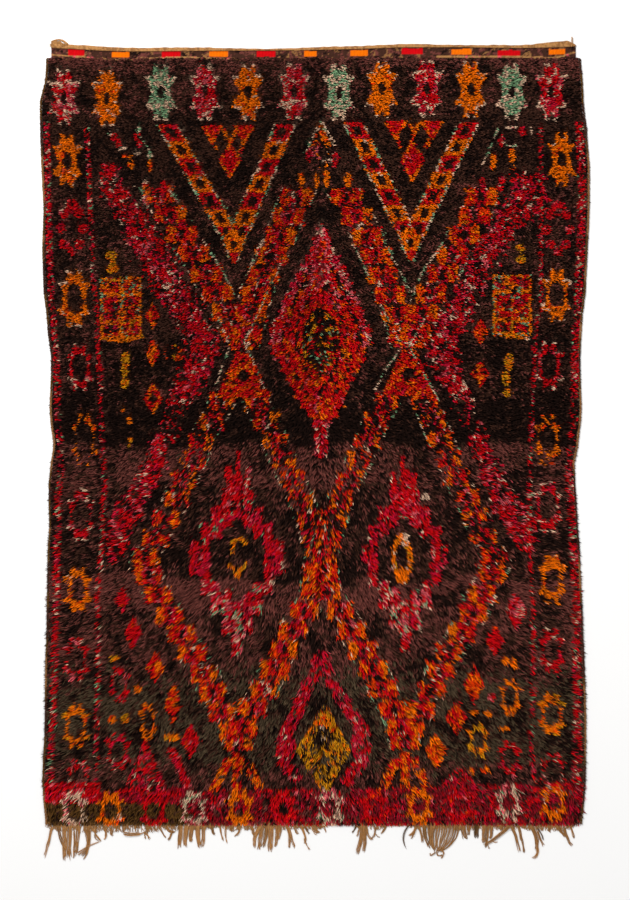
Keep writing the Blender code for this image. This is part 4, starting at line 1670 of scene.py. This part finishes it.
def bound_edge(name, node, facing):
    """The wraps along one side, on the CAD cord of that side."""
    cord = tree_of(node)
    ups = np.arange(FOOT + 0.006, TOP - 0.002, WRAP_PITCH)
    outer = np.array([cord.ray_cast((facing * OUTSIDE, up, 0.002), (-facing, 0, 0))[0].x for up in ups])
    number = len(ups)
    centre = outer - facing * (CORD_HALF + WRAP_HALF / 2) + rng.normal(0, 0.0004, number)
    reach = CORD_HALF * WRAP_ACROSS * rng.uniform(0.92, 1.05, (number, 1))
    x = centre[:, None] + facing * reach
    y = ups[:, None] - WRAP_SLANT * WRAP_ACROSS + rng.normal(0, 0.0003, (number, 1))
    z = WRAP_HEIGHTS * rng.uniform(0.92, 1.08, (number, 1)) + 0 * x
    path = np.stack([x, y, z], axis=2)
    ahead = np.gradient(path, axis=1)
    ahead /= np.linalg.norm(ahead, axis=2, keepdims=True)
    side = np.cross(np.broadcast_to(UP, ahead.shape), ahead)
    steep = np.linalg.norm(side, axis=2, keepdims=True)
    side = side / np.maximum(steep, 0.05)
    rise = np.cross(ahead, side)
    swell = (WRAP_SWELL * WRAP_HALF)[None, :, None]
    batch = waves(ups * 100, ups * 0, 30, 71 + int(facing))
    yarn = np.where(batch > 0.35, YARN_NAMES.index("fawn"), YARN_NAMES.index("bark"))
    yarn = np.where(batch < -0.35, YARN_NAMES.index("brown"), yarn)
    tone = rng.uniform(0.75, 1.15, (number, 1))
    # Each wrap is painted darker at both ends, where it turns down the sides of the cord: painted shade.
    colours = (YARN_LIGHT[yarn] * tone)[:, None] * np.array([0.4, 0.8, 1.0, 0.8, 0.4])[None, :, None]
    binding = stamped(name, WRAP, path, side * swell, rise * swell, colours, binding_wool, "binding_wool")
    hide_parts(node)
    print(name, "has", number, "wraps")
    return binding


binding_wool = Finish("binding_wool", **WOOL)
strands = binding_wool.noise(0.0012, 2.0, (3.0, 1.0, 1.0))
binding_wool.set(
    Base_Color=binding_wool.dyed(0.70 + 0.50 * strands),
    Roughness=0.75 + 0.2 * strands,
    Normal=binding_wool.relief(strands, 0.0005),
)
binding_left = bound_edge("binding_left", "selvedge_left", -1.0)
binding_right = bound_edge("binding_right", "selvedge_right", 1.0)

# %% [markdown]
# At the foot the warps end loose. Most lie in matted bundles of different lengths, some were knotted and
# one hangs as a thick knotted tassel. Each bundle is given by three points that its middle passes, its
# half-width and its number of yarns, so the fringe can be read from the table like a drawing.

# %% Bundles of the fringe
Bundle = namedtuple("Bundle", "start bow end half yarns tone")
BUNDLES = (
    Bundle((52, 826), (49, 842), (44, 858), 1.2, 4, 0.95),
    Bundle((58, 824), (60, 838), (65, 852), 1.6, 4, 0.55),
    Bundle((64, 824), (65, 844), (64, 861), 2.2, 8, 1.0),
    Bundle((70, 824), (69, 846), (69, 861), 2.4, 9, 1.05),
    Bundle((74, 830), (75, 850), (73, 862), 0.9, 3, 0.95),
    Bundle((78, 824), (78, 842), (75, 857), 2.0, 7, 1.0),
    Bundle((88, 824), (92, 846), (82, 859), 2.1, 8, 1.0),
    Bundle((84, 826), (90, 842), (86, 857), 1.2, 4, 0.8),
    Bundle((77, 853), (88, 845), (103, 840), 0.6, 2, 1.05),
    Bundle((78, 855), (82, 852), (88, 847), 0.5, 2, 0.9),
    Bundle((93, 828), (97, 838), (102, 841), 0.9, 3, 0.9),
    Bundle((97, 830), (92, 837), (99, 841), 0.6, 2, 0.7),
    Bundle((104, 828), (108, 835), (104, 840), 0.9, 3, 1.0),
    Bundle((112, 828), (111, 834), (112, 836), 1.6, 5, 0.9),
    Bundle((123, 834), (135, 837), (147, 832), 0.9, 3, 1.05),
    Bundle((123, 832), (132, 834), (142, 833), 0.5, 2, 0.9),
    Bundle((143, 832), (148, 834), (150, 840), 0.8, 3, 1.0),
    Bundle((144, 832), (145, 836), (145, 839), 0.4, 2, 0.8),
    Bundle((159, 828), (163, 833), (166, 838), 0.9, 3, 0.9),
    Bundle((166, 826), (170, 834), (176, 832), 1.4, 5, 0.9),
    Bundle((173, 830), (171, 836), (168, 841), 1.1, 4, 0.75),
    Bundle((181, 824), (180, 838), (179, 849), 2.2, 8, 1.0),
    Bundle((187, 824), (185, 838), (185, 847), 2.4, 9, 1.05),
    Bundle((193, 824), (190, 836), (191, 843), 2.0, 7, 0.9),
    Bundle((198, 824), (197, 838), (200, 848), 2.4, 9, 1.0),
    Bundle((203, 824), (204, 838), (202, 847), 1.8, 6, 1.05),
    Bundle((213, 822), (211, 832), (215, 835), 1.5, 5, 0.6),
    Bundle((220, 826), (221, 834), (223, 841), 0.7, 3, 0.95),
    Bundle((226, 824), (225, 836), (227, 844), 0.8, 3, 1.05),
    Bundle((232, 824), (231, 829), (233, 832), 2.4, 7, 0.9),
    Bundle((240, 826), (240, 833), (235, 837), 1.1, 4, 1.0),
    Bundle((251, 826), (253, 831), (254, 836), 1.4, 5, 0.95),
    Bundle((262, 824), (253, 836), (254, 849), 2.0, 7, 1.05),
    Bundle((262, 826), (260, 840), (259, 850), 2.0, 7, 1.0),
    Bundle((267, 824), (266, 838), (263, 848), 1.8, 6, 0.75),
    Bundle((271, 824), (271, 842), (270, 852), 2.6, 10, 1.08),
    Bundle((277, 824), (278, 838), (275, 848), 1.6, 6, 0.95),
    Bundle((280, 824), (281, 834), (277, 841), 1.5, 5, 0.95),
    Bundle((286, 824), (292, 838), (289, 851), 1.3, 4, 1.05),
    Bundle((288, 826), (292, 838), (295, 850), 1.2, 4, 1.0),
    Bundle((294, 826), (296, 832), (298, 835), 1.2, 4, 0.95),
    Bundle((300, 824), (307, 837), (305, 843), 1.2, 4, 1.05),
    Bundle((304, 838), (306, 845), (310, 850), 0.6, 2, 1.0),
    Bundle((305, 826), (308, 832), (309, 834), 0.8, 3, 0.5),
    Bundle((314, 824), (314, 831), (319, 834), 3.0, 9, 0.95),
    Bundle((324, 824), (325, 829), (326, 833), 0.7, 3, 0.95),
    Bundle((357, 824), (355, 830), (352, 833), 0.8, 3, 0.35),
    Bundle((360, 826), (358, 833), (357, 837), 0.6, 2, 0.8),
    Bundle((362, 824), (362, 842), (357, 854), 2.2, 9, 0.88),
    Bundle((365, 824), (365, 842), (364, 852), 1.8, 7, 0.92),
    Bundle((367, 828), (367, 838), (373, 840), 0.9, 3, 0.9),
    Bundle((375, 826), (376, 836), (371, 840), 0.9, 3, 0.95),
    Bundle((376, 834), (378, 838), (380, 837), 0.4, 2, 0.8),
    Bundle((387, 824), (384, 831), (381, 834), 1.2, 4, 0.85),
    Bundle((411, 824), (399, 832), (406, 850), 0.5, 2, 0.22),
    Bundle((417, 826), (413, 834), (409, 836), 1.0, 4, 0.95),
    Bundle((416, 828), (413, 836), (411, 839), 0.6, 3, 0.85),
    Bundle((419, 826), (422, 836), (423, 843), 1.2, 4, 0.85),
    Bundle((424, 824), (424, 838), (430, 849), 1.7, 6, 0.75),
    Bundle((429, 824), (428, 836), (433, 850), 1.4, 5, 0.70),
    Bundle((433, 826), (434, 831), (433, 829), 1.6, 4, 0.9),
    Bundle((436, 852), (429, 858), (430, 853), 0.7, 3, 0.85),
    Bundle((437, 850), (436, 858), (443, 855), 0.9, 4, 0.85),
    Bundle((440, 850), (447, 852), (441, 859), 0.8, 3, 0.9),
    Bundle((463, 822), (463, 834), (466, 840), 2.6, 8, 0.80),
    Bundle((468, 822), (470, 832), (468, 836), 1.6, 5, 0.85),
    Bundle((477, 822), (476, 832), (476, 839), 2.6, 9, 0.30),
    Bundle((484, 824), (484, 836), (483, 843), 1.6, 6, 0.80),
    Bundle((488, 824), (487, 838), (486, 848), 1.5, 5, 0.85),
    Bundle((492, 824), (492, 834), (490, 840), 1.5, 5, 0.85),
    Bundle((487, 842), (488, 846), (490, 849), 0.5, 2, 0.7),
    Bundle((511, 824), (501, 835), (484, 845), 1.7, 6, 0.80),
    Bundle((492, 841), (495, 843), (498, 842), 0.4, 2, 0.9),
    Bundle((501, 824), (502, 828), (501, 831), 1.5, 5, 0.85),
    Bundle((510, 824), (516, 834), (520, 853), 1.5, 6, 0.80),
    Bundle((518, 824), (521, 836), (522, 842), 1.2, 5, 0.78),
    Bundle((521, 836), (524, 846), (524, 854), 0.9, 4, 0.85),
    Bundle((529, 822), (539, 838), (537, 852), 2.2, 8, 0.80),
    Bundle((537, 846), (539, 857), (532, 858), 1.3, 5, 0.92),
    Bundle((537, 828), (541, 833), (544, 841), 0.4, 2, 0.22),
    Bundle((537, 830), (541, 842), (544, 847), 1.1, 4, 0.85),
    Bundle((548, 826), (549, 830), (550, 833), 0.7, 3, 0.85),
    Bundle((556, 824), (562, 833), (568, 838), 1.8, 6, 0.75),
    Bundle((564, 828), (567, 840), (572, 846), 1.4, 5, 0.78),
    Bundle((569, 824), (574, 833), (574, 840), 1.1, 4, 0.95),
)
TASSEL_YARNS = 30
print(len(BUNDLES), "bundles,", sum(bundle.yarns for bundle in BUNDLES), "yarns")

# %% [markdown]
# Every yarn of a bundle follows the bundle's curve, starts at its own place across it, waves a little
# and ends early or late. The big tassel is fanned: its yarns start far apart and are drawn in to a knot.
# Above them all, short curled ends mat the edge together, deeper where the fringe is fuller.

# %% Paths of the warps
YARN_RINGS = 12
Loose = namedtuple("Loose", "points radius tone")


def curved(start, bow, end, steps):
    """Points along a smooth curve that leaves the start toward the bow and comes to the end."""
    t = np.linspace(0, 1, steps)[:, None]
    start, bow, end = (np.array(point, float) for point in (start, bow, end))
    return (1 - t) ** 2 * start + 2 * t * (1 - t) * bow + t**2 * end


def loose_yarn(start, bow, end, radius, tone, wander):
    """One warp yarn as points on the chart, with a slow wave of its own."""
    points = curved(start, bow, end, YARN_RINGS + 2)
    t = np.linspace(0, 1, YARN_RINGS + 2)
    phase, pitch = rng.uniform(0, 2 * np.pi, 2), rng.uniform(0.8, 2.2, 2)
    points[:, 0] += wander * t * np.sin(phase[0] + 2 * np.pi * pitch[0] * t)
    points[:, 1] += wander * t * 0.5 * np.sin(phase[1] + 2 * np.pi * pitch[1] * t)
    return Loose(points, radius, tone)


warps = []
for bundle in BUNDLES:
    start, bow, end = (np.array(point, float) for point in (bundle.start, bundle.bow, bundle.end))
    run = end - start
    square = np.array([-run[1], run[0]]) / np.hypot(*run)
    for number in range(bundle.yarns):
        off = bundle.half * (2 * (number + 0.5) / bundle.yarns - 1) + rng.normal(0, 0.15)
        stop = start + run * rng.uniform(0.86, 1.03)
        pinch = rng.uniform(0.55, 1.0)
        places = (start + square * off, bow + square * off * 0.95, stop + square * off * pinch)
        tone = bundle.tone * rng.uniform(0.72, 1.15)
        warps.append(loose_yarn(*places, rng.uniform(0.0010, 0.0015), tone, 0.45))

for number in range(TASSEL_YARNS):
    share = (number + 0.5) / TASSEL_YARNS
    start = (431 + 29 * share, 823)
    bow = (426 + 36 * share + rng.normal(0, 0.8), 842)
    end = (434 + 7 * share, 851 + rng.normal(0, 1.0))
    warps.append(loose_yarn(start, bow, end, rng.uniform(0.0011, 0.0016), rng.uniform(0.55, 1.05), 0.6))
print(len(warps), "long yarns")

# %% [markdown]
# The matted edge between the pile and the loose ends. A table says how far down it comes at each column.

# %% Paths of the matted ends
Mat = namedtuple("Mat", "col row")
MATS = (
    Mat(48, 828),
    Mat(52, 831),
    Mat(70, 834),
    Mat(90, 834),
    Mat(120, 833),
    Mat(150, 835),
    Mat(163, 831),
    Mat(205, 832),
    Mat(215, 828),
    Mat(232, 831),
    Mat(280, 831),
    Mat(300, 830),
    Mat(322, 830),
    Mat(329, 826),
    Mat(351, 826),
    Mat(360, 831),
    Mat(378, 831),
    Mat(392, 827),
    Mat(404, 827),
    Mat(420, 830),
    Mat(460, 831),
    Mat(530, 831),
    Mat(556, 832),
    Mat(577, 829),
)
MAT_YARNS = 1250
MAT_RINGS = 5
MAT_TOP = 822

mats = []
for number in range(MAT_YARNS):
    col = rng.uniform(47, 577)
    depth = np.interp(col, [mat.col for mat in MATS], [mat.row for mat in MATS]) - MAT_TOP
    if rng.random() > 0.25 + depth / 8:
        continue
    reach = depth * rng.uniform(0.5, 1.0)
    end = (col + rng.normal(0, 2.2), MAT_TOP + reach)
    bow = (col + rng.normal(0, 2.0), MAT_TOP - 1 + 0.8 * reach)
    points = curved((col, MAT_TOP - 1.5), bow, end, MAT_RINGS + 2)
    mats.append(Loose(points, rng.uniform(0.0009, 0.0014), rng.uniform(0.60, 1.05)))
print(len(mats), "matted ends")

# %% [markdown]
# The paths become yarn. Each tube lies on the floor or on its neighbours, thins at its ends and turns
# round itself along its length, as a plied warp does.

# %% Fringe and loose threads
warp_wool = Finish("warp_wool", **WOOL)
plies = warp_wool.noise(0.0011, 2.0)
stained = warp_wool.noise(0.02, 2.0)
warp_wool.set(
    Base_Color=warp_wool.dyed(0.48 + 0.50 * plies + 0.30 * stained),
    Roughness=0.72 + 0.25 * plies,
    Normal=warp_wool.relief(plies, 0.0006),
)
PILE_OF_YARN = 0.0034
TURNS = 3.0


def laid_yarns(name, yarns, rings, base, slot):
    """Loose yarns as one mesh of tubes that lie on each other, from their height at the root."""
    points = np.stack([yarn.points for yarn in yarns])
    radius = np.array([yarn.radius for yarn in yarns])[:, None, None]
    tone = np.array([yarn.tone for yarn in yarns])[:, None]
    count = len(yarns)
    t = np.linspace(0, 1, rings + 2)
    layer = rng.uniform(0, PILE_OF_YARN, (count, 1))
    z = radius[:, :, 0] + base + layer * (1 - 0.6 * t)
    path = np.stack([x_of(points[..., 0]), y_of(points[..., 1]), z], axis=2)
    ahead = np.gradient(path, axis=1)
    ahead /= np.linalg.norm(ahead, axis=2, keepdims=True)
    square = np.cross(np.broadcast_to(UP, ahead.shape), ahead)
    square /= np.linalg.norm(square, axis=2, keepdims=True)
    upward = np.cross(ahead, square)
    twist = (rng.uniform(0, 2 * np.pi, (count, 1)) + 2 * np.pi * TURNS * t)[..., None] * 0.2
    swell = np.interp(t, [0, 0.08, 0.9, 1], [0.5, 1.0, 0.85, 0.4])[None, :, None]
    side = (np.cos(twist) * square + np.sin(twist) * upward) * radius * swell
    rise = (np.cos(twist) * upward - np.sin(twist) * square) * radius * swell
    tan = YARN_LIGHT[YARN_NAMES.index("tan")]
    shade = tone * rng.uniform(0.82, 1.12, (count, rings + 2))
    piece = stamped(name, spindle(5, rings), path, side, rise, shade[..., None] * tan, warp_wool, slot)
    print(name, "has", count, "yarns and", len(piece.data.polygons), "faces")
    return piece


warp_fringe = laid_yarns("warp_fringe", warps, YARN_RINGS, 0.0, "warp_wool")
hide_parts("fringe")
matted_edge = laid_yarns("matted_edge", mats, MAT_RINGS, 0.0003, "warp_wool")

CORNER_BUNDLES = (
    Bundle((68, 46), (60, 36), (51, 43), 1.2, 4, 1.0),
    Bundle((66, 47), (56, 38), (50, 47), 0.9, 4, 0.9),
    Bundle((62, 47), (61, 40), (57, 43), 1.2, 4, 0.9),
    Bundle((53, 46), (52, 39), (58, 41), 0.8, 3, 1.05),
    Bundle((69, 45), (66, 41), (61, 40), 0.8, 3, 1.05),
    Bundle((571, 47), (573, 42), (571, 37), 0.8, 4, 0.95),
)
corner = []
for bundle in CORNER_BUNDLES:
    for number in range(bundle.yarns):
        nudge = rng.normal(0, 0.5, 2)
        places = [np.array(point) + nudge for point in (bundle.start, bundle.bow, bundle.end)]
        corner.append(loose_yarn(*places, 0.0012, bundle.tone * rng.uniform(0.8, 1.1), 0.4))
corner_threads = laid_yarns("corner_threads", corner, YARN_RINGS, 0.003, "end_wool")
